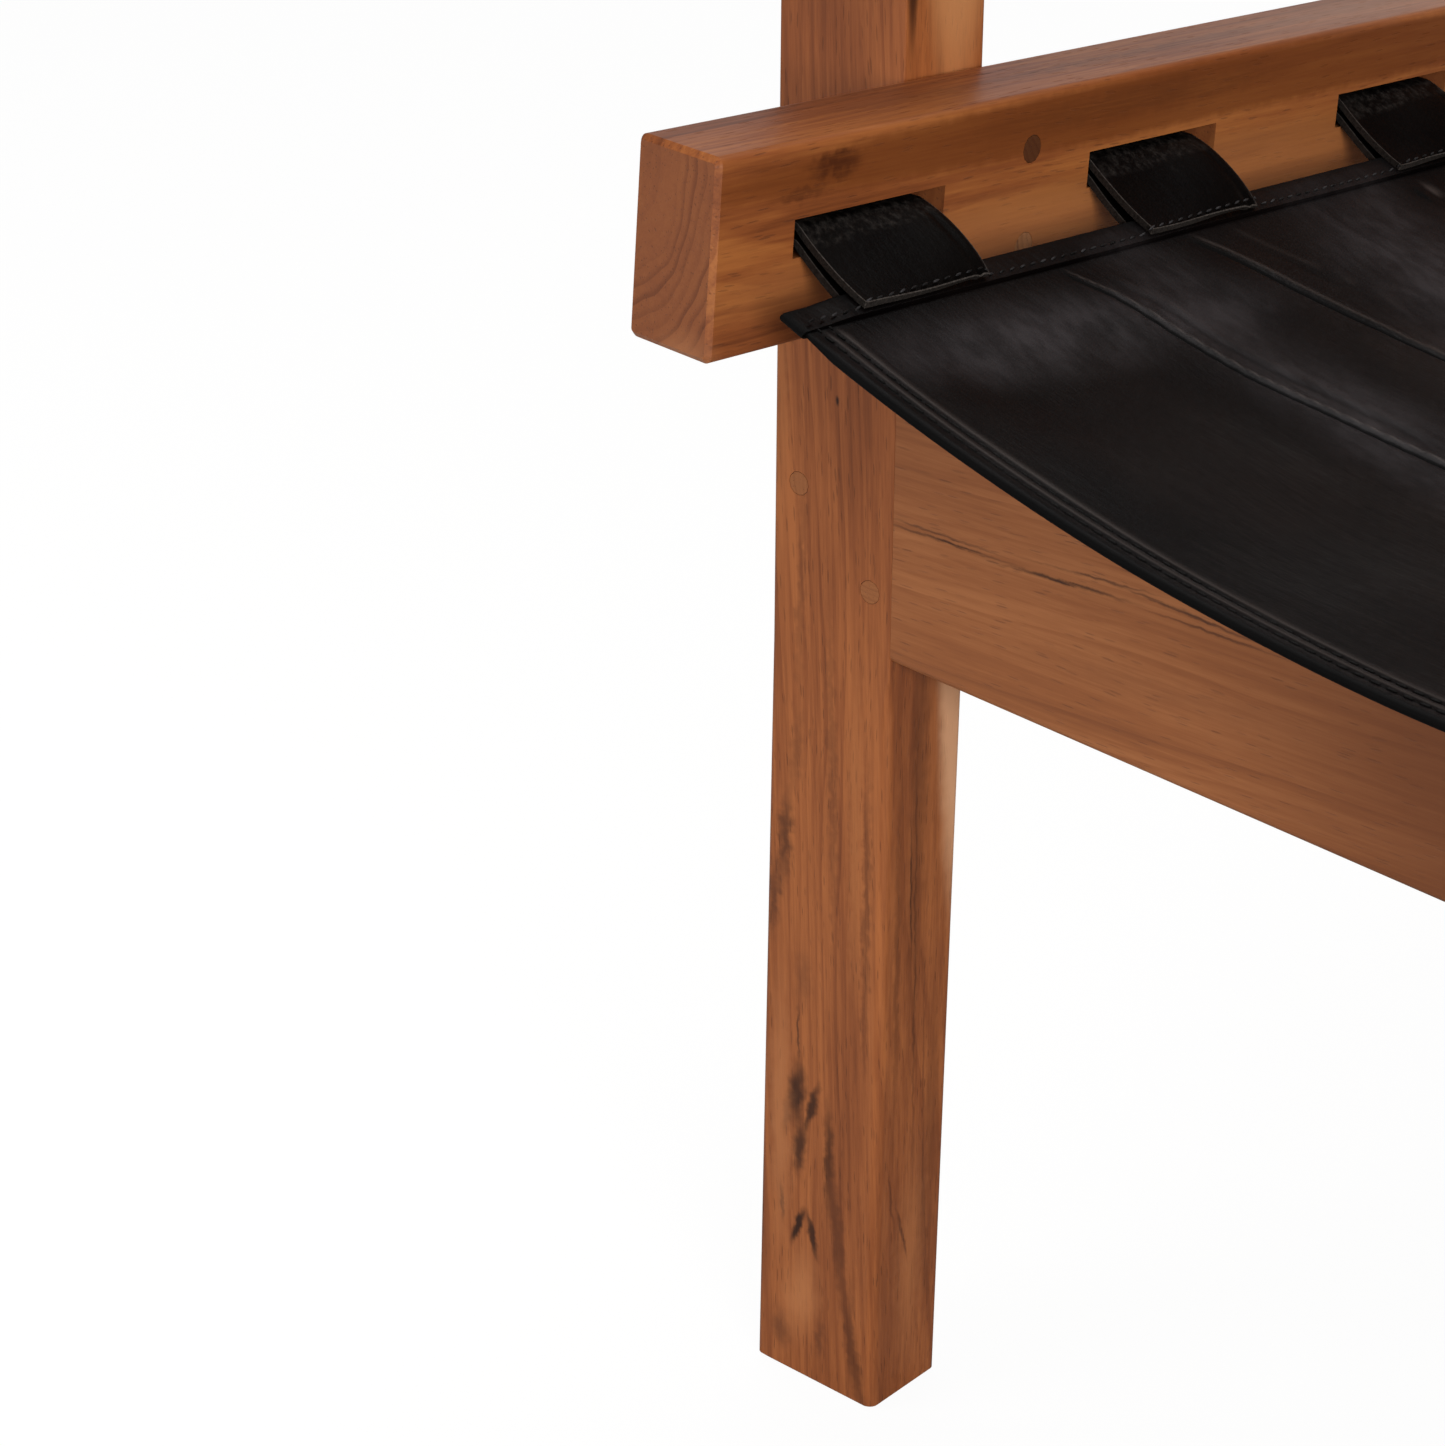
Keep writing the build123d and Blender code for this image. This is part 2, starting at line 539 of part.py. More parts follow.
def dowel(low):
    """The loose rod in a tab's loop, in a board's frame."""
    return rod(DOWEL_DIAMETER, SLOT_LENGTH + 2 * DOWEL_OVER,
               (-DOWEL_AWAY, low - DOWEL_OVER, -SLOT_MIDDLE), (0, 1, 0))


def sling_section(along, sag, outer, inner, hemmed):
    """A curved band across the chair, from one offset of the sling's top face to another."""
    radius = (HALF_SLING ** 2 + sag ** 2) / (2 * sag)
    height = -SLING_DROP + radius - sag
    edge = asin(HALF_SLING / radius)
    hem = edge - SIDE_HEM_WIDTH / radius

    def at(offset, turn):
        return ((radius + offset) * sin(turn), along, height - (radius + offset) * cos(turn))

    def arc(offset, start, end):
        return ThreePointArc(at(offset, start), at(offset, (start + end) / 2), at(offset, end))

    if not hemmed:
        return Wire([arc(outer, -edge, edge), Line(at(outer, edge), at(inner, edge)),
                     arc(inner, edge, -edge), Line(at(inner, -edge), at(outer, -edge))])
    return Wire([
        arc(outer, -edge, edge), Line(at(outer, edge), at(-SIDE_HEM, edge)),
        arc(-SIDE_HEM, edge, hem), Line(at(-SIDE_HEM, hem), at(inner, hem)),
        arc(inner, hem, -hem), Line(at(inner, -hem), at(-SIDE_HEM, -hem)),
        arc(-SIDE_HEM, -hem, -edge), Line(at(-SIDE_HEM, -edge), at(outer, -edge)),
    ])


def sling(slots):
    """A hanging sheet with turned hems, a little lower between the tabs than at them."""
    first = slots[0] + SLOT_LENGTH / 2
    start = slots[0] + TAB_SIDE_GAP - SLING_OVERHANG
    end = slots[-1] + SLOT_LENGTH - TAB_SIDE_GAP + SLING_OVERHANG
    stations = [(start, 0), (start + END_HEM_WIDTH, 0)]
    for i in range((len(slots) - 1) * WAVE_STEPS + 1):
        wave = SLING_WAVE * (1 - cos(2 * pi * i / WAVE_STEPS)) / 2
        stations.append((first + i * SLOT_PITCH / WAVE_STEPS, wave))
    stations += [(end - END_HEM_WIDTH, 0), (end, 0)]
    sheet = Solid.make_loft([sling_section(y, SLING_SAG + wave, LEATHER, 0, True)
                             for y, wave in stations], ruled=True)
    for low in (start, end - END_HEM_WIDTH):
        hem = make_face(sling_section(low, SLING_SAG, 2 * LEATHER, LEATHER, False).edges())
        sheet += extrude(hem, END_HEM_WIDTH, dir=(0, 1, 0))
    return sheet


def both_sides(pieces):
    """A list of pieces and their mirror images."""
    return [to_side(piece, right) for right in (False, True) for piece in pieces]


def fasteners(places, way):
    """The screws and the plugs of a list of places, on both sides of the chair."""
    pairs = [screw_with_plug(place.position, way) for place in places]
    screws = both_sides([screw for screw, plug in pairs])
    plugs = both_sides([plug for screw, plug in pairs])
    return screws, plugs


def pegs(places, way):
    """The pegs of a list of places, on both sides of the chair."""
    return both_sides([rod(PEG_DIAMETER, PEG_LENGTH, place.position, way) for place in places])


def build():
    """Every node by name."""
    nodes = {
        "front_apron": front_apron(),
        "rear_apron": rear_apron(),
        "back_rail_low": back_rail(LOW_BACK_RAIL_PLACE),
        "back_rail_top": back_rail(TOP_BACK_RAIL_PLACE),
        "seat_sling": SEAT_FRAME * sling(SEAT_SLOTS),
        "back_sling": BACK_FRAME * sling(BACK_SLOTS),
    }
    sides = (("left", False), ("right", True))
    wooden = (("front_leg", front_leg()), ("rear_leg", rear_leg()), ("seat_rail", seat_rail()),
              ("back_stile", back_stile()), ("armrest", armrest()))
    for name, piece in wooden:
        for side, right in sides:
            nodes[f"{name}_{side}"] = to_side(piece, right)
    for part, frame, slots in (("seat", SEAT_FRAME, SEAT_SLOTS), ("back", BACK_FRAME, BACK_SLOTS)):
        for side, right in sides:
            for i, low in enumerate(slots, 1):
                nodes[f"{part}_tab_{side}_{i}"] = to_side(frame * tab(low), right)
            nodes[f"{part}_dowels_{side}"] = Compound(
                [to_side(frame * dowel(low), right) for low in slots])
    for name, places in (("front_leg", front_screw_places()), ("rear_leg", rear_screw_places()),
                         ("armrest", arm_screw_places())):
        screws, plugs = fasteners(places, (-1, 0, 0))
        nodes[f"{name}_screws"] = Compound(screws)
        nodes[f"{name}_plugs"] = Compound(plugs)
    nodes["front_apron_pegs"] = Compound(pegs(front_peg_places(), (0, 1, 0)))
    nodes["rear_apron_pegs"] = Compound(pegs(rear_peg_places(), rear_peg_way()))
    return nodes


nodes = build()
reach = Compound([solid for piece in nodes.values() for solid in piece.solids()]).bounding_box()
to_origin = Pos(0, -(reach.min.Y + reach.max.Y) / 2, 0)
os.makedirs("parts", exist_ok=True)
for name, piece in nodes.items():
    solids = [to_origin * solid for solid in piece.solids()]
    export_step(solids[0] if len(solids) == 1 else Compound(solids), f"parts/{name}.step")
print(len(nodes), "nodes,", round(reach.size.X), "x", round(reach.size.Y), "x", round(reach.size.Z))
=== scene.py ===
import bmesh
import bpy
import numpy as np
from math import asin, cos, exp, hypot, pi, radians, sin, tan
from mathutils import Matrix, Vector


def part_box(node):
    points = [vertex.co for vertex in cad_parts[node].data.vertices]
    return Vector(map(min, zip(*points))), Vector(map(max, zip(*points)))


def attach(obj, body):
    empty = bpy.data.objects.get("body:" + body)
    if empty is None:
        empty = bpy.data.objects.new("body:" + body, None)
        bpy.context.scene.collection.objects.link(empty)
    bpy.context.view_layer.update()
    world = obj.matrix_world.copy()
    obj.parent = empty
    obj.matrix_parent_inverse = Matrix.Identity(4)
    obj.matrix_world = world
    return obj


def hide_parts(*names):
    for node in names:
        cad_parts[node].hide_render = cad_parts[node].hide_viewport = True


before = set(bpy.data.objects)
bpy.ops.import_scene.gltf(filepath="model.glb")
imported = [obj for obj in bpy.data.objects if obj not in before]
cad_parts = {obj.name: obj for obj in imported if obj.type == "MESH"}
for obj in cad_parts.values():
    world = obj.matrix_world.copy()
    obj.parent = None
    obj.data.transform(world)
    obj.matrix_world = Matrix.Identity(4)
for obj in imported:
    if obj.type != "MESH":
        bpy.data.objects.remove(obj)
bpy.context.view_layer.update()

# Front legs
# Solid teak, planed square and sanded, with softened arrises. The grain runs up each leg, and
# an oiled finish leaves a satin face in which fine dark pores and slow dark bands show.
MM = 0.001
LEG_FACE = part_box("front_leg_left")[0][1] / MM
LEG_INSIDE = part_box("front_leg_left")[1][0] / MM
UP = Vector((0, 0, 1))
ACROSS = Vector((1, 0, 0))
TEAK = {"pale": "#B66C3B", "mid": "#99562E", "deep": "#733C1F", "pore": "#3A2014"}
TEAK_IOR = 1.5
TEAK_SPECULAR = 0.3       # the oil has sunk in, so the open grain shines less than a film would
TEAK_ROUGHNESS = 0.44
FIBRE_MATT = 0.12         # what the fibre adds to the roughness, and below it what a pore does
PORE_MATT = 0.18
RING_WIDTH = 3.4          # mm between two growth rings
RINGS_IN_BAND = 4.35      # that share a tone, as good and poor years come in runs
RINGS_BEND = (250.0, 45.5)     # mm along the board and across it, as are the next three
FIBRE = (18.2, 0.8)
STREAK = (111.0, 2.38)
CLOUD = (125.0, 20.0)
WANDER = 22.0             # mm by which the rings stray along a board
TONE_SHARES = {"late wood": 0.16, "bands": 0.5, "fibre": 0.4, "streak": 0.52, "cloud": 0.75}
TONE_RANGE = (0.68, 1.64)      # their sum in the palest wood and in the deepest
END_DARK = 0.75           # how far the end grain's colour covers the board's
END_RINGS = 0.6
PORE_DARK = 0.42
PORE_LENGTH = 9.0
PORE_WIDTH = 0.4          # twice the real width, so that they show in the picture
PORE_DEPTH = 0.08
LEAST_RAG = 4.0           # mm, the smallest unevenness of a mark's outline


def linear(colour):
    """An sRGB hex colour as linear light."""
    shares = [int(colour[i:i + 2], 16) / 255 for i in (1, 3, 5)]
    return [s / 12.92 if s <= 0.04045 else ((s + 0.055) / 1.055) ** 2.4 for s in shares] + [1]


def add(tree, kind, inputs=None, **settings):
    """Adds a node with its settings; each input is a value or the socket that feeds it."""
    node = tree.nodes.new(kind)
    for name, value in settings.items():
        setattr(node, name, value)
    for key, value in (inputs or {}).items():
        if isinstance(value, bpy.types.NodeSocket):
            tree.links.new(value, node.inputs[key])
        else:
            node.inputs[key].default_value = value
    return node


def blank_tree(owner):
    """The node tree of a material or of the world, emptied."""
    owner.use_nodes = True
    owner.node_tree.nodes.clear()
    return owner.node_tree


def joiners(tree):
    """Three functions that add to one tree: a sum, a soft range and a mix of two colours."""
    def maths(first, second, operation):
        """One sum."""
        return add(tree, "ShaderNodeMath", {0: first, 1: second}, operation=operation).outputs[0]

    def ranged(value, low, high, to_low=0.0, to_high=1.0):
        """A value's range moved to another, with soft ends."""
        return add(tree, "ShaderNodeMapRange", {
            "Value": value, "From Min": low, "From Max": high, "To Min": to_low,
            "To Max": to_high}, interpolation_type="SMOOTHSTEP").outputs[0]

    def mixed(amount, first, second):
        """One colour over another."""
        return add(tree, "ShaderNodeMix", {0: amount, 6: first, 7: second},
                   data_type="RGBA").outputs[2]

    return maths, ranged, mixed


def axes(along, side):
    """Three square directions: along, as near to side as can be, and the third."""
    x = Vector(along).normalized()
    z = x.cross(Vector(side)).normalized()
    return x, z.cross(x), z


def spot(tree, point, start, end, wide, deep, edge):
    """A soft patch round the line from start to end, in mm: 1 inside and 0 outside."""
    start, end = Vector(start), Vector(end)
    x, y, z = axes(end - start, ACROSS if abs((end - start).normalized().x) < 0.9 else UP)
    turn = Matrix((x, y, z)).transposed().to_euler()
    half = (end - start).length / 2
    local = add(tree, "ShaderNodeMapping", {
        "Vector": point, "Location": (start + end) / 2, "Rotation": turn,
        "Scale": (half, wide, deep)}, vector_type="TEXTURE")
    away = add(tree, "ShaderNodeVectorMath", {0: local.outputs[0]}, operation="LENGTH")
    return add(tree, "ShaderNodeMapRange", {
        "Value": away.outputs["Value"], "From Min": 1.0, "From Max": 1.0 - edge,
        "To Min": 0.0, "To Max": 1.0}, interpolation_type="SMOOTHSTEP").outputs[0]


def teak(name, grain, pith, tones=TEAK, seed=0, marks=(), side=ACROSS, ring=RING_WIDTH,
         rough=TEAK_ROUGHNESS, plain=0.0):
    """Oiled teak. grain is the direction along the board, pith a point in mm on the middle of
    the tree's rings, and a mark is (start, end, wide, deep, edge, colour, strength, ragged).
    Fibre shows through a mark whose strength is over 0, and one below 0 lies evenly on the
    wood. No rings show on end grain nearer than plain mm to the pith."""
    material = bpy.data.materials.new(name)
    tree = blank_tree(material)
    maths, ranged, mixed = joiners(tree)
    place = add(tree, "ShaderNodeTexCoord").outputs["Object"]
    x, y, z = axes(grain, side)
    turn = Matrix((x, y, z))
    board = add(tree, "ShaderNodeMapping", {
        "Vector": place, "Location": -(turn @ Vector(pith)), "Rotation": turn.to_euler(),
        "Scale": (1 / MM, 1 / MM, 1 / MM)}).outputs[0]

    def noise(size, detail, coarse=0.55, shift=0.0):
        """Cloudy noise, its size given in mm along the board and across it."""
        waves = (1 / size[0], 1 / size[1], 1 / size[1])
        scaled = add(tree, "ShaderNodeVectorMath", {
            0: board, 1: waves, 2: (seed + shift, 0.0, seed)}, operation="MULTIPLY_ADD")
        return add(tree, "ShaderNodeTexNoise", {
            "Vector": scaled.outputs[0], "Scale": 1.0, "Detail": detail, "Roughness": coarse})

    # The rings wander along the board, as the trunk did
    wander = noise(RINGS_BEND, 2.5)
    bent = add(tree, "ShaderNodeVectorMath", {
        0: wander.outputs["Color"], 1: (0.0, WANDER, WANDER), 2: board},
        operation="MULTIPLY_ADD")
    flat = add(tree, "ShaderNodeVectorMath", {
        0: bent.outputs[0], 1: (0.0, 1.0, 1.0), 2: (0.0, -WANDER / 2, -WANDER / 2)},
        operation="MULTIPLY_ADD")
    radius = add(tree, "ShaderNodeVectorMath", {0: flat.outputs[0]}, operation="LENGTH")
    rings = maths(radius.outputs["Value"], ring, "DIVIDE")
    season = maths(rings, 1.0, "FRACT")
    year = add(tree, "ShaderNodeTexWhiteNoise", {"W": maths(rings, 1.0, "FLOOR")},
               noise_dimensions="1D").outputs["Value"]

    # Late wood darkens through a season and stops short at its end, in some years more
    late = maths(ranged(season, 0.35, 0.92), ranged(season, 1.0, 0.93), "MULTIPLY")
    late = maths(late, ranged(year, 0.1, 1.0, 0.25, 1.0), "MULTIPLY")
    bands = add(tree, "ShaderNodeTexNoise", {
        "W": maths(rings, RINGS_IN_BAND, "DIVIDE"), "Scale": 1.0, "Detail": 3.0,
        "Roughness": 0.6}, noise_dimensions="1D").outputs[0]

    fibre = noise(FIBRE, 3.0, 0.6, 3.0).outputs[0]
    cloud = noise(CLOUD, 3.0, 0.5, 7.0).outputs[0]
    streak = noise(STREAK, 3.5, 0.6, 5.0).outputs[0]
    patterns = {"late wood": late, "bands": bands, "fibre": fibre, "streak": streak,
                "cloud": cloud}
    tone = 0.0
    for pattern, share in TONE_SHARES.items():
        tone = maths(tone, maths(patterns[pattern], share, "MULTIPLY"), "ADD")
    ramp = add(tree, "ShaderNodeValToRGB", {0: ranged(tone, *TONE_RANGE)})
    stops = ramp.color_ramp.elements
    stops[0].position, stops[0].color = 0.12, linear(tones["pale"])
    stops[1].position, stops[1].color = 0.95, linear(tones["deep"])
    stops.new(0.5).color = linear(tones["mid"])
    colour = ramp.outputs[0]

    # End grain drinks more oil, so it is darker there
    normal = add(tree, "ShaderNodeNewGeometry").outputs["Normal"]
    facing = add(tree, "ShaderNodeVectorMath", {0: normal, 1: x}, operation="DOT_PRODUCT")
    end = ranged(maths(facing.outputs["Value"], 0.0, "ABSOLUTE"), 0.72, 0.92)
    colour = mixed(maths(end, END_DARK, "MULTIPLY"), colour,
                   linear(tones.get("end", tones["mid"])))
    nested = maths(late, ranged(radius.outputs["Value"], plain - 3, plain + 2), "MULTIPLY")
    colour = mixed(maths(maths(end, nested, "MULTIPLY"), END_RINGS, "MULTIPLY"), colour,
                   linear(tones["deep"]))

    # Pores are open vessels: short dark dashes along the board and dots at its ends, each in
    # a cell twice its own width
    cells = add(tree, "ShaderNodeVectorMath", {
        0: bent.outputs[0], 1: (1 / PORE_LENGTH, 0.5 / PORE_WIDTH, 0.5 / PORE_WIDTH)},
        operation="MULTIPLY")
    cell = add(tree, "ShaderNodeTexVoronoi", {
        "Vector": cells.outputs[0], "Scale": 1.0, "Randomness": 1.0})
    pores = ranged(cell.outputs["Distance"], 0.34, 0.2)
    pores = maths(pores, ranged(cell.outputs["Color"], 0.35, 0.85, 0.1, 0.9), "MULTIPLY")
    colour = mixed(maths(pores, PORE_DARK, "MULTIPLY"), colour, linear(tones["pore"]))

    # Mineral streaks, knots, sapwood, stains, painted shade and painted sheen, each at its own
    # place
    for start, stop, wide, deep, edge, tint, strength, ragged in marks:
        rag = add(tree, "ShaderNodeTexNoise", {
            "Vector": place, "Scale": 1 / (max(wide, LEAST_RAG) * MM), "Detail": 4.0})
        moved = add(tree, "ShaderNodeVectorMath", {
            0: rag.outputs["Color"], 1: [ragged * MM] * 3, 2: place}, operation="MULTIPLY_ADD")
        middle = Vector([ragged / 2] * 3)
        patch = spot(tree, moved.outputs[0], (Vector(start) + middle) * MM,
                     (Vector(stop) + middle) * MM, wide * MM, deep * MM, edge)
        if strength > 0:
            patch = maths(patch, ranged(fibre, 0.3, 0.6, 0.45, 1.0), "MULTIPLY")
        colour = mixed(maths(patch, abs(strength), "MULTIPLY"), colour, linear(tint))

    height = maths(maths(fibre, 0.25, "MULTIPLY"), pores, "SUBTRACT")
    bump = add(tree, "ShaderNodeBump", {
        "Height": height, "Strength": 0.7, "Distance": PORE_DEPTH * MM})
    matt = maths(maths(fibre, FIBRE_MATT, "MULTIPLY"), maths(pores, PORE_MATT, "MULTIPLY"), "ADD")
    shader = add(tree, "ShaderNodeBsdfPrincipled", {
        "Base Color": colour, "Roughness": maths(matt, rough - FIBRE_MATT / 2, "ADD"),
        "IOR": TEAK_IOR, "Specular IOR Level": TEAK_SPECULAR, "Normal": bump.outputs[0]})
    add(tree, "ShaderNodeOutputMaterial", {0: shader.outputs[0]})
    return material


def dress(node, material):
    """Gives a CAD node its material in every slot."""
    for slot in bpy.data.objects[node].material_slots:
        slot.link = "OBJECT"
        slot.material = material


def leg_mark(across, up, across_end, up_end, wide, tint, strength, ragged=2.0, edge=0.8):
    """A mark on the left leg's front face, given from its inner face and from the floor."""
    start = (LEG_INSIDE - across, LEG_FACE, up)
    end = (LEG_INSIDE - across_end, LEG_FACE, up_end)
    return start, end, wide, 9.0, edge, tint, strength, ragged


def side_mark(behind, up, behind_end, up_end, deep, tint, strength, ragged=2.0, edge=0.8):
    """A mark on the left leg's inner side, given from its front face and from the floor."""
    start = (LEG_INSIDE, LEG_FACE + behind, up)
    end = (LEG_INSIDE, LEG_FACE + behind_end, up_end)
    return start, end, 6.0, deep, edge, tint, strength, ragged


# Each row is where a mark starts and ends, its width, colour and strength, and, where they
# differ from most marks', how ragged it is and how soft its edge is
LEG_MARKS = [leg_mark(*row) for row in (
    # A pin knot under the rail
    (21, 331.5, 21.4, 335.5, 0.9, "#2A150C", -0.95, 1.0),
    # Smudges along the outer edge
    (40, 166, 37, 214, 4.4, "#4A2818", -0.75, 8.0, 0.95),
    (43, 152, 42, 186, 3.6, "#54301F", -0.65, 7.0, 1.0),
    (36, 200, 33, 240, 4.0, "#6E3D22", -0.5, 8.0, 1.0),
    (30, 130, 31, 160, 4.5, "#6A3C25", -0.45, 7.0, 1.0),
    # The upper knot, its arm and a hair crack above it
    (32, 111, 32.5, 140, 0.9, "#54301D", 0.8, 3.0),
    (34, 88, 31, 120, 5.2, "#361C10", -0.9, 5.0, 0.8),
    (32, 70, 30, 100, 4.2, "#3B2013", -0.85, 5.0, 0.85),
    (37, 84, 36, 104, 3.0, "#45261A", -0.6, 5.0, 1.0),
    (30, 88, 22.5, 114, 2.4, "#361C10", -0.88, 4.0, 0.8),
    # A stain that runs down beside both knots
    (19, 58, 19.5, 114, 2.8, "#42220F", -0.8, 4.0, 0.95),
    (20, 96, 11, 26, 3.8, "#5E311A", -0.75, 5.0, 0.95),
    (16, 56, 0, -20, 3.8, "#5E311A", -0.8, 4.0, 0.95),
    (8, 60, 10, -10, 2.0, "#6E3D22", -0.5, 5.0, 1.0),
    # The lower knot
    (34.5, 46, 28, 66, 2.3, "#2E160B", -0.95, 3.5, 0.7),
    (28.5, 66, 22, 44, 2.1, "#361B0F", -0.9, 3.5, 0.75),
    (38.5, 72, 37, 52, 1.5, "#4C2A1B", -0.8, 4.0, 0.95),
    # Darker and paler wood round the knots and at the foot
    (37, 4, 39, 26, 6.0, "#653922", -0.62, 8.0, 1.0),
    (22, 8, 21.5, 28, 4.0, "#653922", -0.62, 7.0, 1.0),
    (31, 8, 28, 56, 10.0, "#C8814F", -0.7, 8.0, 0.95),
    (38, 30, 40, 160, 7.0, "#C27E4F", -0.6, 8.0, 0.95),
    # Slow bands up the leg
    (10, 120, 13, 280, 4.0, "#B87342", -0.45, 7.0, 1.0),
    (17, 130, 24, 300, 2.6, "#6E3D22", -0.5, 7.0, 1.0),
    (34, 220, 33, 330, 2.6, "#6E3D22", -0.42, 7.0, 1.0),
    (6, 100, 7, 245, 2.4, "#6A3A20", 0.6, 6.0),
    (42, 250, 41, 420, 4.0, "#B87342", -0.4, 7.0, 1.0),
    # A darker top
    (20, 395, 20, 620, 28.0, "#5E2C16", -0.35, 4.0, 0.6),
)] + [side_mark(*row) for row in (
    # A strip of sapwood
    (35.5, 146, 30, 430, 13.5, "#EBB084", -1.0, 2.5, 0.4),
    # Dark bands, and paler wood at the foot
    (15, 90, 15, 350, 6.5, "#6C3B1E", -0.6, 7.0, 1.0),
    (8, 60, 6, 260, 2.2, "#6C3B1E", -0.55, 5.0, 1.0),
    (27, 20, 25, 170, 5.0, "#6C3B1E", -0.45, 7.0, 1.0),
    (16, -6, 19, 110, 11.0, "#C27C4B", -0.5, 9.0, 1.0),
    # Hair cracks
    (14, 150, 11.5, 212, 0.7, "#2E160B", 0.9, 1.5),
    (18, 55, 13, 255, 0.9, "#4A2512", 0.55, 3.0),
    (24, 30, 19, 190, 0.8, "#5A2E18", 0.5, 3.0),
    (10, 58, 4, 94, 0.9, "#5A2E18", 0.6, 3.0),
    (17, 46, 8, 78, 0.9, "#5A2E18", 0.9, 3.0),
    # A paler top, and a dark line of painted shade along its front edge, where a groove runs
    (22, 400, 22, 900, 26.0, "#D99660", -0.85, 2.0, 0.2),
    (2.8, 428, 2.8, 620, 4.2, "#3B1F12", -0.9, 0.6, 0.25),
)]
LEG_SLANT = -0.05         # by which the grain runs off the leg's own line
PITH_OUTWARD = 70.0       # mm from the leg's inner face to the middle of the tree
PITH_AHEAD = 26.0
for side, out, seed, marks in (("left", -1, 0, LEG_MARKS), ("right", 1, 11, ())):
    pith = (out * (PITH_OUTWARD - LEG_INSIDE), LEG_FACE - PITH_AHEAD, 0)
    dress("front_leg_" + side, teak("oiled_teak_leg_" + side, UP + ACROSS * LEG_SLANT, pith,
                                    seed=seed, marks=marks))

# Rear legs
# The same teak, set with the foot a little to the rear. Each holds the rear apron's tenon.
REAR_RAKE = radians(8)
PITH_INWARD = 60.0        # mm from the leg's middle
PITH_BEHIND = 90.0        # mm from the front of its top
for side, inward, seed in (("left", 1, 30), ("right", -1, 37)):
    low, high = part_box("rear_leg_" + side)
    pith = ((low[0] + high[0]) / 2 / MM + inward * PITH_INWARD, low[1] / MM + PITH_BEHIND, 0)
    dress("rear_leg_" + side, teak("oiled_teak_rear_leg_" + side,
                                   (0, -sin(REAR_RAKE), cos(REAR_RAKE)), pith, seed=seed))

# Front apron and rear apron
# Teak boards let into the legs. The front one is hollowed along its top edge for the sling,
# and fine straight grain runs along it with two dark mineral streaks near its left end.
APRON = {"pale": "#B17043", "mid": "#9F6037", "deep": "#8A512F", "pore": "#5A3622"}


def apron_mark(across, up, across_end, up_end, wide, tint, strength, ragged=1.5, edge=0.9):
    """A mark on the front apron's face, from the left leg's inner face and the floor."""
    start = (LEG_INSIDE + across, LEG_FACE, up)
    end = (LEG_INSIDE + across_end, LEG_FACE, up_end)
    return start, end, wide, 6.0, edge, tint, strength, ragged


APRON_MARKS = [apron_mark(*row) for row in (
    # The two mineral streaks, each of fine broken strands
    (-12, 302, 52, 302, 0.8, "#3B2012", 0.9, 1.6),
    (-10, 304, 46, 303.5, 0.7, "#46281A", 0.8, 1.6),
    (26, 300.5, 92, 303, 1.0, "#3B2012", 0.95, 2.0),
    (40, 304.5, 100, 307.5, 0.6, "#46281A", 0.75, 1.6),
    (66, 307, 136, 302, 0.8, "#46281A", 0.85, 1.6),
    (80, 302, 140, 301, 0.7, "#46281A", 0.7, 1.8),
    # A broad painted shade from the sling, darker towards the right, and two slow bands
    (88, 290, 430, 290, 120.0, "#6A3A20", -0.75, 6.0, 0.6),
    (20, 276, 180, 284, 6.0, "#8A5230", 0.35, 6.0),
    (90, 258, 260, 262, 5.0, "#8A5230", 0.35, 6.0),
)]
APRON_PITH = (-290.0, LEG_FACE - 60, 190.0)
REAR_APRON_PITH = (0.0, 330.0, 180.0)
APRON_RING = 2.6          # it was cut from a slower tree
dress("front_apron", teak("oiled_teak_apron", ACROSS, APRON_PITH, APRON, 50, APRON_MARKS,
                          side=UP, ring=APRON_RING))
dress("rear_apron", teak("oiled_teak_rear_apron", ACROSS, REAR_APRON_PITH, APRON, 60, side=UP))

# Pegs and plugs
# Teak pegs lock the apron tenons, and short teak plugs cover the screws. Each was cut from
# another strip, so some are paler and some darker than the board round them.
PLUG_TONES = {"pale": "#C08A5C", "mid": "#A06A42", "deep": "#57321D", "pore": "#3A2014"}
PEG_TONES = {"pale": "#B0713F", "mid": "#A2643A", "deep": "#90552F", "pore": "#6A4026"}
BOARD = 31.0              # thickness of the slotted boards, which the screws pass through
SCREW_LINE = -240.0       # the screws' place from front to back
PLUG_TINTS = {414.0: "#4A2310", 400.0: "#C08A5A"}        # by height above the floor
PLUG_REACH = 7.0          # mm round a plug's middle, past its rim
PLUG_MARKS = []
for out in (-1, 1):
    for up, tint in PLUG_TINTS.items():
        middle = Vector((-out * (LEG_INSIDE + BOARD), SCREW_LINE, up))
        PLUG_MARKS.append((middle - UP * PLUG_REACH, middle + UP * PLUG_REACH, PLUG_REACH,
                           PLUG_REACH, 0.2, tint, -0.85, 0.0))
plug_teak = teak("teak_plug_end_grain", ACROSS, (0, -300, 380), PLUG_TONES, 70, PLUG_MARKS,
                 side=UP, ring=2.2)
peg_teak = teak("teak_peg_end_grain", (0, 1, 0), (-300, 0, 310), PEG_TONES, 75, ring=2.0)
for node in ("front_leg_plugs", "rear_leg_plugs", "armrest_plugs"):
    dress(node, plug_teak)
for node in ("front_apron_pegs", "rear_apron_pegs"):
    dress(node, peg_teak)

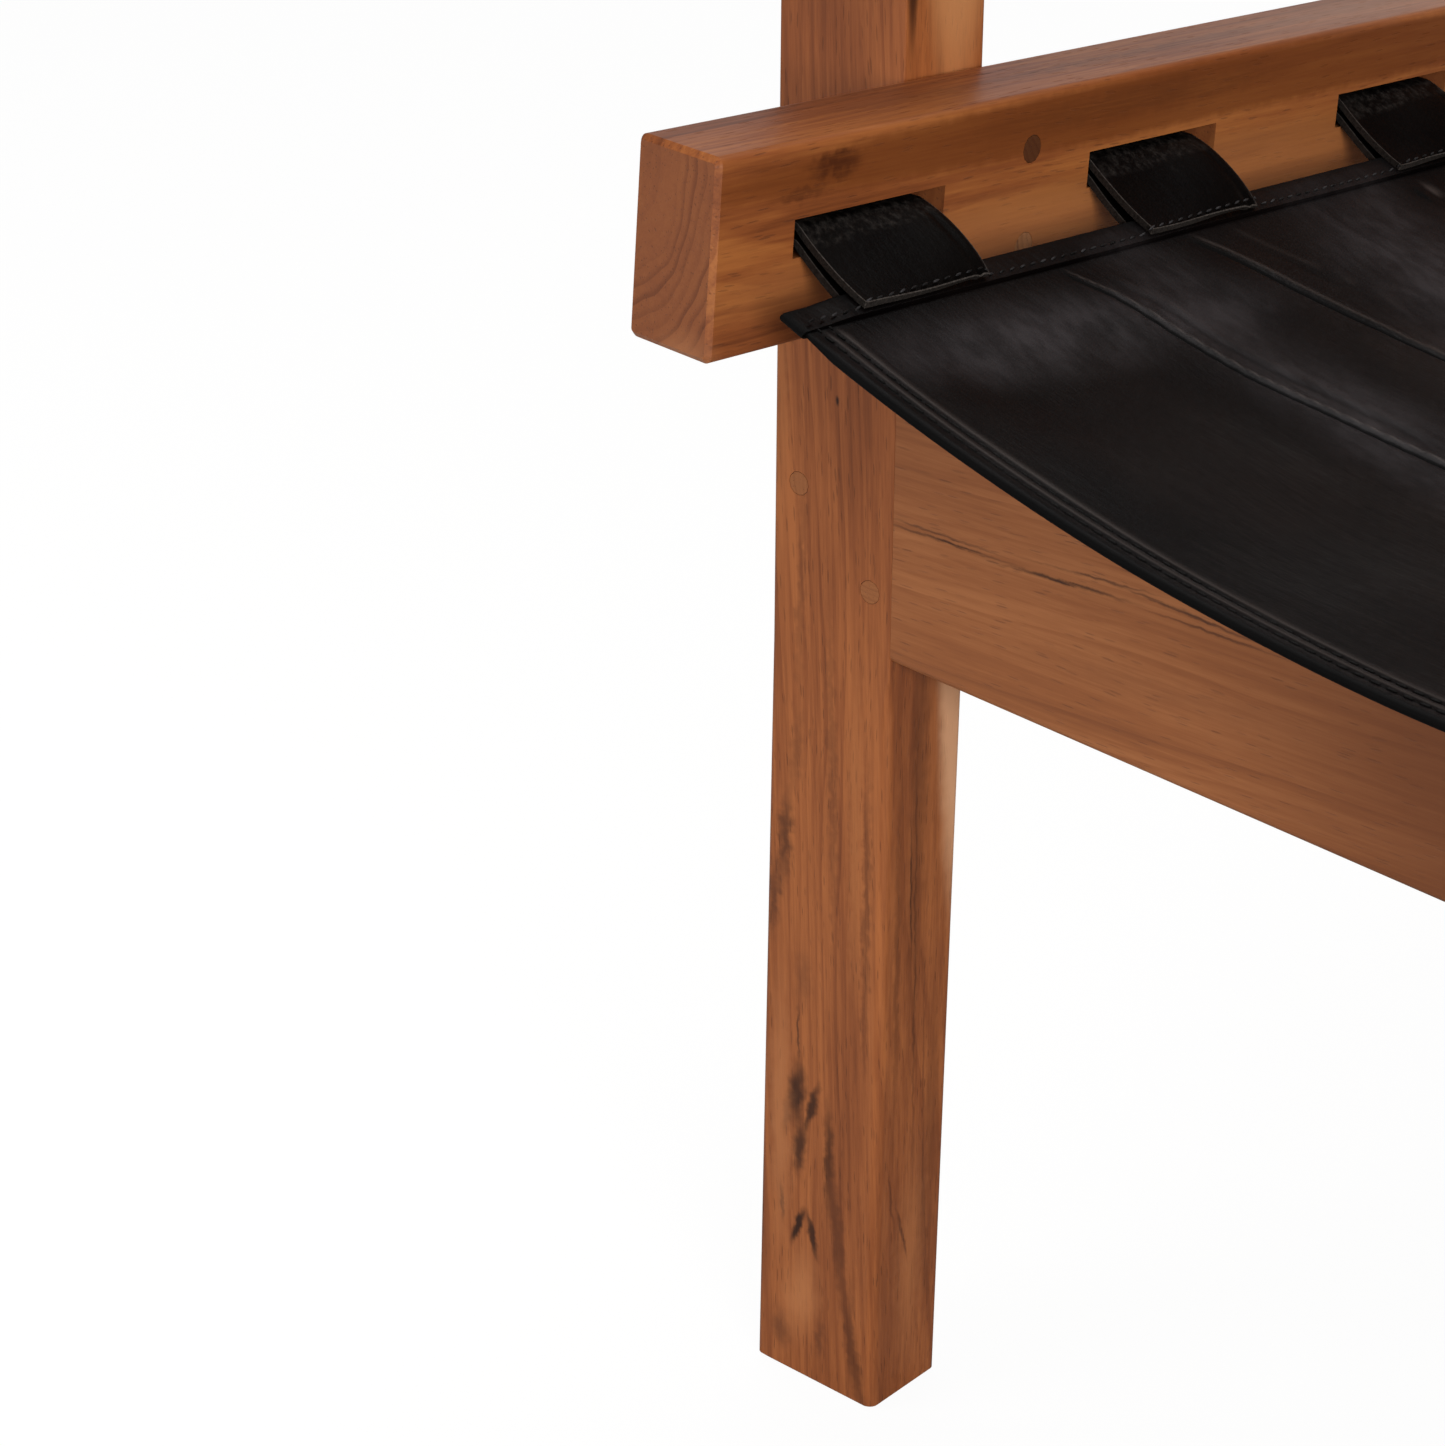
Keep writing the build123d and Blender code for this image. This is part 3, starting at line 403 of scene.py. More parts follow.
# Screws
# Countersunk wood screws of zinc-plated steel, hidden under the plugs. Zinc is a bright, cool
# grey with a slightly uneven gloss from the plating bath.
zinc = bpy.data.materials.new("zinc_plated_steel")
zinc.use_nodes = True
zinc_tree = zinc.node_tree
zinc_shader = zinc_tree.nodes["Principled BSDF"]
zinc_shader.inputs["Base Color"].default_value = linear("#B9BDC1")
zinc_shader.inputs["Metallic"].default_value = 1.0
SPANGLE = 1.11            # mm, the size of the plating's uneven spots
zinc_noise = add(zinc_tree, "ShaderNodeTexNoise", {
    "Vector": add(zinc_tree, "ShaderNodeTexCoord").outputs["Object"],
    "Scale": 1 / (SPANGLE * MM)})
zinc_rough = add(zinc_tree, "ShaderNodeMapRange", {
    "Value": zinc_noise.outputs[0], "To Min": 0.28, "To Max": 0.45})
zinc_tree.links.new(zinc_rough.outputs[0], zinc_shader.inputs["Roughness"])
for node in ("front_leg_screws", "rear_leg_screws", "armrest_screws"):
    dress(node, zinc)

# Seat rails
# Teak boards with four slots each, screwed to the legs' inner faces. The left one is cut close
# to the tree's middle: dark nested rings show on its front end, its inner face is dark over
# pale, and a darker band runs along its satin top.
TILT = radians(4.7)
RAIL_TOP = 430.0          # at the front legs' faces
PITH_OUTSIDE = 16.0       # the tree's middle lay this far outside the rail's outer face
PITH_DROP = 7.0
RAIL_TONES = {"pale": "#B56E38", "mid": "#97542B", "deep": "#65331B", "pore": "#3A2014",
              "end": "#8E5230"}
RAIL_RING = 3.6
PITH_PLAIN = 34.0         # mm round the pith in which the end grain shows no rings
SEAT = Matrix.Translation((0, LEG_FACE, RAIL_TOP)) @ Matrix.Rotation(-TILT, 4, "X")
ALONG_SEAT = SEAT.to_3x3() @ Vector((0, 1, 0))
RAIL_OUTSIDE = LEG_INSIDE
RAIL_INSIDE = LEG_INSIDE + BOARD


def seat_mark(x, y, z, x_end, y_end, z_end, wide, deep, tint, strength, ragged=3.0, edge=0.8):
    """A mark given in the seat's own frame."""
    return (SEAT @ Vector((x, y, z)), SEAT @ Vector((x_end, y_end, z_end)), wide, deep, edge,
            tint, strength, ragged)


RAIL_MARKS = [seat_mark(*row) for row in (
    # The inner face, dark above and pale below, with two smudges near its front end
    (RAIL_INSIDE, -160, -9, RAIL_INSIDE, 420, -9, 4.0, 10.0, "#7A3F18", -0.7, 3.0, 0.3),
    (RAIL_INSIDE, -160, -37, RAIL_INSIDE, 460, -36, 4.0, 16.0, "#A86A3A", -0.6, 4.0, 0.4),
    (RAIL_INSIDE, -78, -8, RAIL_INSIDE, -50, -7, 4.0, 5.0, "#4E240F", 0.85, 9.0),
    (RAIL_INSIDE, -90, -14, RAIL_INSIDE, -62, -13, 4.0, 3.0, "#5A2D17", 0.7, 8.0),
    (RAIL_INSIDE, -20, -8, RAIL_INSIDE, 160, -8, 4.0, 6.0, "#6A3818", 0.6, 5.0),
    # Paler wood low on the front end
    (RAIL_OUTSIDE + 4, -110, -64, RAIL_INSIDE + 6, -110, -48, 13.0, 12.0, "#B4744A",
     -0.75, 3.0, 0.7),
    # The top: a thin dark line, then dark wood in front and a painted sheen behind
    (RAIL_INSIDE - 16, -110, 0, RAIL_INSIDE - 16, 330, 0, 4.5, 2.0, "#6A3A26", 0.7, 5.0),
    (RAIL_INSIDE - 14, -74, 0, RAIL_INSIDE - 14, 66, 0, 22.0, 4.0, "#5E2C16", -0.45, 5.0,
     1.0),
    (RAIL_INSIDE - 15, 70, 0, RAIL_INSIDE - 15, 330, 0, 22.0, 4.0, "#C08A68", -0.5, 5.0,
     1.0),
)]
for side, out, seed, marks in (("left", -1, 90, RAIL_MARKS), ("right", 1, 95, ())):
    pith = SEAT @ Vector((out * (PITH_OUTSIDE - RAIL_OUTSIDE), 0, -PITH_DROP))
    dress("seat_rail_" + side, teak("oiled_teak_rail_" + side, ALONG_SEAT, pith, RAIL_TONES,
                                    seed, marks, ring=RAIL_RING, plain=PITH_PLAIN))

# Back stiles and the rails between them
# Slotted teak boards that stand on the seat rails and lean back, joined by two plain rails.
RECLINE = radians(18)
STILE_ALONG = 406.0       # along the seat rail from the front legs' faces
BACK = (Matrix.Translation((0, LEG_FACE + STILE_ALONG * cos(TILT),
                            RAIL_TOP - STILE_ALONG * sin(TILT)))
        @ Matrix.Rotation(pi / 2 - RECLINE, 4, "X"))
ALONG_BACK = BACK.to_3x3() @ Vector((0, 1, 0))
for side, pith, seed in (("left", (-300, 0, -70), 110), ("right", (250, 0, -70), 119)):
    dress("back_stile_" + side, teak("oiled_teak_stile_" + side, ALONG_BACK,
                                     BACK @ Vector(pith), RAIL_TONES, seed))
for node, pith, seed in (("back_rail_low", (0, -40, -80), 130),
                         ("back_rail_top", (0, 360, -80), 139)):
    dress(node, teak("oiled_teak_" + node, ACROSS, BACK @ Vector(pith), APRON, seed,
                     side=ALONG_BACK))

# Armrests
# Flat teak boards on the front legs' tenons, screwed to the stiles, their tops rubbed smoother
# than the rest by hands.
ARM_ROUGHNESS = 0.38
PITH_BELOW = 45.0         # mm under the board
for side, seed in (("left", 150), ("right", 159)):
    low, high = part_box("armrest_" + side)
    pith = ((low[0] + high[0]) / 2 / MM, 0, low[2] / MM - PITH_BELOW)
    dress("armrest_" + side, teak("oiled_teak_arm_" + side, (0, 1, 0), pith, TEAK, seed,
                                  rough=ARM_ROUGHNESS))

# Dowels
# Turned hardwood rods, pale and close-grained, that lie loose in the tabs' loops.
DOWEL_TONES = {"pale": "#C9A274", "mid": "#B48758", "deep": "#8E653E", "pore": "#6B4A2C"}
DOWEL_PITH = (-330.0, 0.0, 380.0)
DOWEL_RING = 1.6
for part, along, seed in (("seat", ALONG_SEAT, 170), ("back", ALONG_BACK, 175)):
    turned = teak(f"turned_hardwood_{part}_dowel", along, DOWEL_PITH, DOWEL_TONES, seed,
                  ring=DOWEL_RING)
    for side in ("left", "right"):
        dress(f"{part}_dowels_{side}", turned)

# Tabs
# Strips of thick black leather, doubled round a dowel behind the board, passed through its slot
# and sewn to the sling's edge. Their cut edges show the grey-brown core, rough where the slot
# bends them, and their faces carry a worn, waxy shine.
LEATHER_IOR = 1.48
TONE_CLOUD = 45.5         # mm, the size of the hide's unevenness, as are the next five
SCUFF = 10.53
SHEEN_PATCH = 22.2
SLOT_FLECK = 2.38
FUZZ = 0.667
GRAIN_DOT = 0.385
WRINKLE = (18.2, 4.17, 4.17)   # mm, drawn out along the hide
WRINKLE_TURN = radians(-14)
WRINKLE_DEPTH = 0.5
PEBBLE_DEPTH = 0.06       # mm, as are the sizes below
RUBBED_TINT = "#514844"   # of a crease's crest
PAINTED_SHEEN_TINT = "#363233"     # of a patch of painted sheen
SCUFF_TINT = "#4A423D"
# The colour of the painted shade in valleys, grooves and folds
VALLEY_SHADE_TINT = "#020202"
CUT_TINT = "#6B635D"
TAB_HIDE = 1.8
SLING_HIDE = 1.2          # the sling's hide is thinner than the tabs'
FOLD = 0.65               # from the middle of the sling's hide to the middle of a fold's bend
TAB_RISE = 2 * FOLD + (SLING_HIDE + TAB_HIDE) / 2 + 0.1    # upper layer over the sling's middle
TAB_FALL = (SLING_HIDE + TAB_HIDE) / 2 + 0.1
SLOT_LENGTH = 60.0
SLOT_PITCH = 123.0
SLOT_MIDDLE = 24.5        # below the board's top face
LAYER_AT_DOWEL = 3.6      # from the slot's middle to the middle of each layer
LAYERS_AT_MOUTH = (2.6, -1.7)  # the upper and the lower, where they leave the slot
MOUTH_INSET = 1.5         # from the board's faces to where the layers start to bend
TAB_WIDTH = 52.0
TAB_AHEAD = 0.8           # from the slot's front end to the tab's front edge
TAB_SHORTER = 3.0         # how much narrower the upper layer is, at its rear edge
LOOP_AWAY = 8.8           # from the board's outer face to the dowel's middle
LOOP_RADIUS = 7.4
LOOP_OPEN = 0.25          # radians left open on each side, towards the board
LOOP_STEPS = 14
SLING_GAP = 15.0          # from the board to the sling's side edge
SLING_DROP = 37.0
SLING_SAG = 49.0
HALF_SLING = -LEG_INSIDE - BOARD - SLING_GAP
TAB_LAP = 7.5             # from the sling's side edge to the tab's end
TAB_PULL = 8.5            # how far along its directions a layer's bend is drawn
TAB_STEPS = 16
TAB_COLUMNS = 37
TAB_SHIFT = 0.9           # by which the tabs are set unevenly in their slots
TAB_LUMP = 0.25           # height of a tab's own swells
RIM = 0.4                 # width of the pale line along a cut edge
RIM_RAW = 0.5             # how raw the hide shows there, on the cut itself and at the ends
CUT_RAW = 0.16
END_RAW = 0.3
END_RIM_RAW = (0.1, 0.5)  # across the rim of an end, from its front corner to its rear
SLOT_RUB = 0.17           # how much the slot has rubbed the face, and how far from its mouth
RUB_REACH = (-3.0, 4.0)
TAUT_BEND = ((0.75, -0.66), (0.93, -0.36))     # how the front edge leaves its slot and arrives
SLACK_BEND = ((0.96, -0.28), (0.62, -0.79))    # and the rear edge
LOW_BEND = ((0.76, -0.65), (0.93, -0.36))
TAB_BORDER = 4.2          # from the tab's rear edge to the line creased along it
BORDER_DEPTH = 0.6
BORDER_WIDTH = 0.9
EDGE_FALL = 0.5           # by which that edge is pressed down
EDGE_ROUND = 1.4
SEAT_SLOTS = [i * SLOT_PITCH - 79.0 for i in range(4)]
BACK_SLOTS = [i * SLOT_PITCH + 103.9 for i in range(3)]


def sling_radius(sag):
    """Radius of the curve in which the sling hangs."""
    return (HALF_SLING ** 2 + sag ** 2) / (2 * sag)


EDGE_TURN = asin(HALF_SLING / sling_radius(SLING_SAG))


def leather(name, dark, light, specular, pebble, wear_and_sheen=()):
    """Black full-grain cowhide, drum-dyed and waxed: a fine pebbled grain, a soft broad sheen,
    brown-black undertones, paler scuffs and patches of painted sheen, each (start, end, wide)
    in mm. A piece's own attributes say where it is a cut edge, whose undyed fibres are grey and
    rough, where a slot rubs it, and how rubbed it is, pale over 0 on a crest, and how dark its
    painted shade is below 0, black in a valley, a row's groove or a fold."""
    material = bpy.data.materials.new(name)
    tree = blank_tree(material)
    maths, ranged, mixed = joiners(tree)
    place = add(tree, "ShaderNodeTexCoord").outputs["Object"]

    def noise(size, detail, coarse=0.55):
        """Cloudy noise with its size in mm."""
        return add(tree, "ShaderNodeTexNoise", {
            "Vector": place, "Scale": 1 / (size * MM), "Detail": detail,
            "Roughness": coarse}).outputs[0]

    def given(attribute):
        """A number that the mesh carries from place to place."""
        return add(tree, "ShaderNodeAttribute", attribute_name=attribute).outputs["Fac"]

    cloud = noise(TONE_CLOUD, 3.0)
    wear = noise(SCUFF, 5.0, 0.65)
    colour = mixed(ranged(cloud, 0.38, 0.66), linear(dark), linear(light))
    colour = mixed(ranged(wear, 0.66, 0.8, 0.0, 0.2), colour, linear(SCUFF_TINT))

    # Patches of painted sheen, broken up by the fine wrinkles that stretching has drawn
    drawn = add(tree, "ShaderNodeMapping", {
        "Vector": place, "Rotation": (0, 0, WRINKLE_TURN),
        "Scale": [1 / (size * MM) for size in WRINKLE]})
    wrinkle = add(tree, "ShaderNodeTexNoise", {
        "Vector": drawn.outputs[0], "Scale": 1.0, "Detail": 4.0, "Roughness": 0.6}).outputs[0]
    sheen = maths(ranged(noise(SHEEN_PATCH, 5.0, 0.6), 0.34, 0.64, 0.42, 1.0),
                  ranged(wrinkle, 0.32, 0.68, 0.62, 1.15), "MULTIPLY")
    for start, end, wide in wear_and_sheen:
        patch = spot(tree, place, start * MM, end * MM, wide * MM, wide * MM, 0.95)
        colour = mixed(maths(patch, sheen, "MULTIPLY"), colour, linear(PAINTED_SHEEN_TINT))

    # Creases, rubbed pale on their crests, and painted shade, black in their valleys, grooves and
    # folds
    rub_and_painted_shade = given("rub_and_painted_shade")
    colour = mixed(ranged(rub_and_painted_shade, 0.0, 1.0, 0.0, 0.8), colour, linear(RUBBED_TINT))
    colour = mixed(ranged(rub_and_painted_shade, 0.0, -1.0, 0.0, 0.9), colour, linear(VALLEY_SHADE_TINT))

    # Cut edges, and the flecks that a slot rubs into the face
    fuzz = noise(FUZZ, 4.0, 0.7)
    flecks = maths(given("slot_rub"), ranged(noise(SLOT_FLECK, 4.0, 0.7), 0.4, 0.72), "MULTIPLY")
    raw = maths(maths(given("cut_edge"), flecks, "MAXIMUM"),
                ranged(fuzz, 0.3, 0.62, 0.3, 1.0), "MULTIPLY")
    colour = mixed(raw, colour, linear(CUT_TINT))

    # Relief: pebbles with a finer grain on them, and loose fibres where the hide is raw
    pebbles = add(tree, "ShaderNodeTexVoronoi", {
        "Vector": place, "Scale": 1 / (pebble * MM), "Randomness": 1.0},
        feature="SMOOTH_F1").outputs["Distance"]
    height = maths(maths(pebbles, 0.35, "MULTIPLY"), noise(GRAIN_DOT, 2.0), "ADD")
    height = maths(maths(maths(fuzz, raw, "MULTIPLY"), 6.0, "MULTIPLY"), height, "ADD")
    wrinkled = add(tree, "ShaderNodeBump", {
        "Height": wrinkle, "Strength": 0.5, "Distance": WRINKLE_DEPTH * MM})
    bump = add(tree, "ShaderNodeBump", {
        "Height": height, "Strength": 0.5, "Distance": PEBBLE_DEPTH * MM,
        "Normal": wrinkled.outputs[0]})
    roughness = maths(ranged(wear, 0.3, 0.75, 0.4, 0.47), raw, "MAXIMUM")
    roughness = maths(roughness, ranged(rub_and_painted_shade, 0.0, -1.0, 0.0, 0.75), "MAXIMUM")
    shader = add(tree, "ShaderNodeBsdfPrincipled", {
        "Base Color": colour, "Roughness": roughness, "IOR": LEATHER_IOR,
        "Specular IOR Level": specular, "Normal": bump.outputs[0]})
    add(tree, "ShaderNodeOutputMaterial", {0: shader.outputs[0]})
    return material


tab_leather = leather("waxed_black_hide_tab", "#040303", "#080605", 0.05, pebble=0.7)


def curve_points(start, start_way, end, end_way, pull, steps):
    """Points on a smooth bend from start to end, leaving and arriving in given directions."""
    a, d = Vector(start), Vector(end)
    b = a + Vector(start_way) * pull
    c = d - Vector(end_way) * pull
    points = []
    for i in range(steps + 1):
        t = i / steps
        points.append(a * (1 - t) ** 3 + b * 3 * t * (1 - t) ** 2 + c * 3 * t * t * (1 - t)
                      + d * t ** 3)
    return points


def tab_layer(way, bend):
    """One layer of a tab from its loop to the sling, in the board's frame: across and up."""
    leave, arrive = bend
    over = TAB_RISE if way > 0 else -TAB_FALL
    seam = -SLING_DROP + over / cos(EDGE_TURN)
    end = Vector((BOARD + SLING_GAP + TAB_LAP, seam - TAB_LAP * tan(EDGE_TURN)))
    at_mouth = LAYERS_AT_MOUTH[0 if way > 0 else 1]
    lip = Vector((BOARD - MOUTH_INSET, at_mouth - SLOT_MIDDLE))
    start = Vector((MOUTH_INSET, way * LAYER_AT_DOWEL - SLOT_MIDDLE))
    points = [start, (start + lip) / 2]
    points += curve_points(lip, leave, end, arrive, TAB_PULL, TAB_STEPS)
    points.insert(-1, end - Vector(arrive) * RIM)
    return points


def put(name, data):
    """An object made of the data, in the scene."""
    thing = bpy.data.objects.new(name, data)
    bpy.context.scene.collection.objects.link(thing)
    return thing


def strip_mesh(name, rows, thick, material, lip_rows):
    """A closed strip of one thickness from rows of points, each row across the strip. Faces at
    its cut edges are marked, the narrow rims most, and so are the rows that the slot rubs."""
    count = len(rows[0])
    middle = np.array([[list(p) for p in row] for row in rows], dtype=float)
    down = np.gradient(middle, axis=0)
    side = np.gradient(middle, axis=1)
    normal = np.cross(side, down)
    normal /= np.linalg.norm(normal, axis=2)[..., None]
    top, under = middle + thick / 2 * normal, middle - thick / 2 * normal
    points = np.concatenate([top, under[:, ::-1]], axis=1)
    long, wide = points.shape[:2]
    faces, cut = [], []
    rims = (0, count - 2, count, wide - 2)
    sides = (count - 1, wide - 1)
    for j in range(long - 1):
        for i in range(wide):
            a, b = j * wide + i, j * wide + (i + 1) % wide
            faces.append((a, b, b + wide, a + wide))
            if i in rims:
                cut.append(RIM_RAW)
            elif j in (0, long - 2):
                least, most = END_RIM_RAW
                cut.append(least + (most - least) * min(i / count, 1))
            else:
                cut.append(CUT_RAW if i in sides else 0)
    for base, turned in ((0, False), ((long - 1) * wide, True)):
        for i in range(count - 1):
            quad = (base + i, base + wide - 1 - i, base + wide - 2 - i, base + i + 1)
            faces.append(quad if not turned else quad[::-1])
            cut.append(END_RAW)
    mesh = bpy.data.meshes.new(name)
    mesh.from_pydata((points.reshape(-1, 3) * MM).tolist(), [], faces)
    mesh.attributes.new("cut_edge", "FLOAT", "FACE").data.foreach_set("value", cut)
    rub = np.zeros((long, wide), dtype=np.float32)
    rub[lip_rows] = SLOT_RUB
    mesh.attributes.new("slot_rub", "FLOAT", "POINT").data.foreach_set("value", rub.reshape(-1))
    mesh.materials.append(material)
    return put(name, mesh)


def tidy_normals(piece):
    """Turns a closed mesh's faces outwards and shades it smooth up to an edge's angle."""
    work = bmesh.new()
    work.from_mesh(piece.data)
    bmesh.ops.recalc_face_normals(work, faces=work.faces)
    work.to_mesh(piece.data)
    work.free()
    piece.data.shade_smooth()
    piece.data.set_sharp_from_angle(angle=radians(40))


def tab_edges(low, number):
    """Where a tab's front and rear edges lie along its board."""
    near = low + TAB_AHEAD + TAB_SHIFT * (1 + sin(number * 2.3))
    return near, near + TAB_WIDTH


def make_tab(name, place, low, right, number):
    """One doubled strip: up the lower layer, round the dowel and back along the upper layer."""
    lower = tab_layer(-1, LOW_BEND)
    taut, slack = tab_layer(1, TAUT_BEND), tab_layer(1, SLACK_BEND)
    loop = []
    for i in range(1, LOOP_STEPS):
        turn = -pi / 2 - LOOP_OPEN - i / LOOP_STEPS * (pi - 2 * LOOP_OPEN)
        loop.append(Vector((-LOOP_AWAY + LOOP_RADIUS * cos(turn),
                            -SLOT_MIDDLE + LOOP_RADIUS * sin(turn))))
    front, rear = lower[::-1] + loop + taut, lower[::-1] + loop + slack
    rim = RIM / TAB_WIDTH
    widths = np.concatenate([[0, rim], np.linspace(0.02, 0.98, TAB_COLUMNS), [1 - rim, 1]])
    near, far = tab_edges(low, number)
    rows = []
    for i in range(len(front)):
        share = i / (len(front) - 1)
        on_top = min(max((share - 0.52) * 12, 0), 1)      # 0 on the lower layer, 1 on the upper
        row = []
        for w in widths:
            across, up = front[i].lerp(rear[i], w * w * (3 - 2 * w))
            free = min(max(across - BOARD, 0) / 6, 1)
            lump = TAB_LUMP * sin(7 * w + number * 1.7 + 6 * share) * free
            if on_top == 1:
                from_edge = (1 - w) * TAB_WIDTH
                border = exp(-((from_edge - TAB_BORDER) / BORDER_WIDTH) ** 2)
                lump -= BORDER_DEPTH * border * free + EDGE_FALL * exp(-from_edge / EDGE_ROUND)
            along = near + (far - TAB_SHORTER * on_top - near) * w
            world = place @ Vector((across - (BOARD - RAIL_INSIDE), along, up + lump))
            row.append((-world.x if right else world.x, world.y, world.z))
        rows.append(row)
    least, most = RUB_REACH
    lip = [j for j, point in enumerate(front)
           if j > len(front) / 2 and least < point[0] - BOARD < most]
    piece = strip_mesh(name, rows, TAB_HIDE, tab_leather, lip)
    tidy_normals(piece)
    return piece


for part, place, slots in (("seat", SEAT, SEAT_SLOTS), ("back", BACK, BACK_SLOTS)):
    for side in ("left", "right"):
        for i, low in enumerate(slots, 1):
            node = f"{part}_tab_{side}_{i}"
            tab = make_tab(node + "_hide", place, low, side == "right", i)
            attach(tab, "root")
            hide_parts(node)

# Slings
# A seat and a back of the same hide, hung from the tabs. The front and rear ends are folded
# under and sewn with two rows of black thread; the side edges are turned over onto the top and
# sewn with one grey row, which also takes the tabs. Creases run in from between the tabs.
HEM_END = 12.0
HEM_SIDE = 7.5
OVERHANG = 24.0           # past the outer tabs
WAVE = 3.0                # by which the sling sags more between two tabs
HALF_ARC = sling_radius(SLING_SAG) * EDGE_TURN     # from its middle to a side edge
STITCH_ROWS = (4.2, 8.4)  # from the sling's ends
ROW_GROOVE = 0.35         # how deep the thread draws the hide in
ROW_RIDGE = 0.25
ROW_WIDTH = 0.9
ROW_TO_RIDGE = 1.9
GROOVE_SHADE = 0.7         # how dark the painted shade in a row's groove is, and how rubbed the ridge beside it
RIDGE_RUBBED = 0.75
# how dark the painted shade along a folded edge is
FOLD_SHADE = 0.8
SWELL = 0.0035            # a swell's height as a share of its length
SWELLS = 9
SWELL_CLEAR = (8.0, 4.0)  # from the side edges and from the ends, where no swell reaches
SWELL_GROWS = (25.0, 30.0)     # and over which it grows to its full height
FOLD_SHADE_REACH = 2.2           # from a folded edge, over which painted shade darkens the hide
SKIVED_OVER = 18.0        # from a corner, where the hide is pared down before it is folded
SKIVED_TO = 0.45          # of its thickness, at the corner itself
SIDE_ROW = 6.1            # from the sling's side edges
SLACK_RISE = 1.1          # by which the slack rear of a tab stands off there
# How far from its left side and from its front end the mesh is fine, its spacing there, and
# its spacing past that
FINE_ACROSS = (130.0, 1.3, 5.5)
FINE_ALONG = (190.0, 1.4, 5.5)
# Patches of painted sheen, each from one point to another, and how wide it is
PAINTED_SHEEN_PLACES = (((20, -130, -46), (40, 90, -50), 22.0), ((-40, 34, -26), (230, 26, -88), 32.0),
        ((-60, 136, -20), (210, 126, -88), 52.0), ((60, 60, -60), (460, 220, -80), 80.0))
LEFT_EDGE = Vector((-HALF_SLING, 0, 0))
SLING_PAINTED_SHEEN = [(SEAT @ (Vector(start) + LEFT_EDGE), SEAT @ (Vector(end) + LEFT_EDGE), wide)
              for start, end, wide in PAINTED_SHEEN_PLACES]
sling_leather = leather("waxed_black_hide_sling", "#050303", "#0D0807", 0.09, pebble=0.9,
                        wear_and_sheen=SLING_PAINTED_SHEEN)


def hanging(across, along, height, slots):
    """Points of a sling from distances across it, along it and above its middle layer."""
    first, last = slots[0] + SLOT_LENGTH / 2, slots[-1] + SLOT_LENGTH / 2
    inside = (along > first) & (along < last)
    wave = np.where(inside, WAVE * (1 - np.cos(2 * pi * (along - first) / SLOT_PITCH)) / 2, 0)
    sag = SLING_SAG + wave
    radius = (HALF_SLING ** 2 + sag ** 2) / (2 * sag)
    turn = across / HALF_ARC * np.arcsin(HALF_SLING / radius)
    reach = radius - height
    return np.stack([reach * np.sin(turn), along + 0 * turn,
                     -SLING_DROP + radius - sag - reach * np.cos(turn)], axis=-1)


def extent(slots):
    """Where a sling starts and where it ends, along its board."""
    set_in = (SLOT_LENGTH - TAB_WIDTH) / 2
    return slots[0] + set_in - OVERHANG, slots[-1] + SLOT_LENGTH - set_in + OVERHANG


def spaced(low, high, fine_for, fine, coarse):
    """Places from low to high, closely set over the first fine_for mm."""
    near = np.linspace(low, low + fine_for, max(2, round(fine_for / fine)))
    far = np.linspace(low + fine_for, high, max(2, round((high - low - fine_for) / coarse)))
    return np.concatenate([near, far[1:]])


def folded_path(places, hem, side):
    """A path along the places with a turned hem at each end: place, height, and its normal."""
    low, high = places[0] + FOLD, places[-1] - FOLD

    def bend(edge, way):
        """The turn of a fold, from the sheet to the hem."""
        turns = [pi * i / 6 for i in range(1, 6)]
        return [(edge - way * FOLD * sin(t), side * FOLD * (1 - cos(t)),
                 way * side * sin(t), cos(t)) for t in turns]

    shares = (0.0, 0.33, 0.66, 1.0)
    rows = [(low + hem * share, side * 2 * FOLD, 0, -1) for share in shares[::-1]]
    rows += bend(low, 1)[::-1]
    rows += [(place, 0, 0, 1) for place in places if low < place < high]
    rows += bend(high, -1)
    rows += [(high - hem * share, side * 2 * FOLD, 0, -1) for share in shares]
    return np.array(rows)


FULL_SHADE_DEPTH = 0.65            # mm, a crease so deep takes the darkest painted shade
FADE_IN = 9.0             # over which a crease begins at the sling's edge
FADE_OUT = 45.0           # and over which it runs out


def creases(across, along, lines):
    """Height added by creases, each a line of points with a depth, a width and a crest's height,
    and how rubbed the hide is there, pale on a crest, with painted shade dark in a valley."""
    total = np.zeros(np.broadcast(across, along).shape)
    for points, depth, wide, ridge in lines:
        best = np.full(total.shape, 1e9)
        signed = np.zeros(total.shape)
        run = np.zeros(total.shape)
        lengths = [hypot(b[0] - a[0], b[1] - a[1]) for a, b in zip(points, points[1:])]
        whole, done = sum(lengths), 0
        for (a, b), length in zip(zip(points, points[1:]), lengths):
            ux, uy = (b[0] - a[0]) / length, (b[1] - a[1]) / length
            t = np.clip((across - a[0]) * ux + (along - a[1]) * uy, 0, length)
            dx, dy = across - a[0] - t * ux, along - a[1] - t * uy
            away = np.hypot(dx, dy)
            closer = away < best
            best = np.where(closer, away, best)
            signed = np.where(closer, away * np.sign(ux * dy - uy * dx), signed)
            run = np.where(closer, done + t, run)
            done += length
        fade = np.clip(np.minimum(run / FADE_IN, (whole - run) / FADE_OUT), 0, 1)
        fade = fade * fade * (3 - 2 * fade)
        valley = np.exp(-(signed / wide) ** 2)
        crest = np.exp(-((signed - 1.6 * wide) / (0.8 * wide)) ** 2)
        total += fade * (ridge * crest - depth * valley)
    return total, total / FULL_SHADE_DEPTH


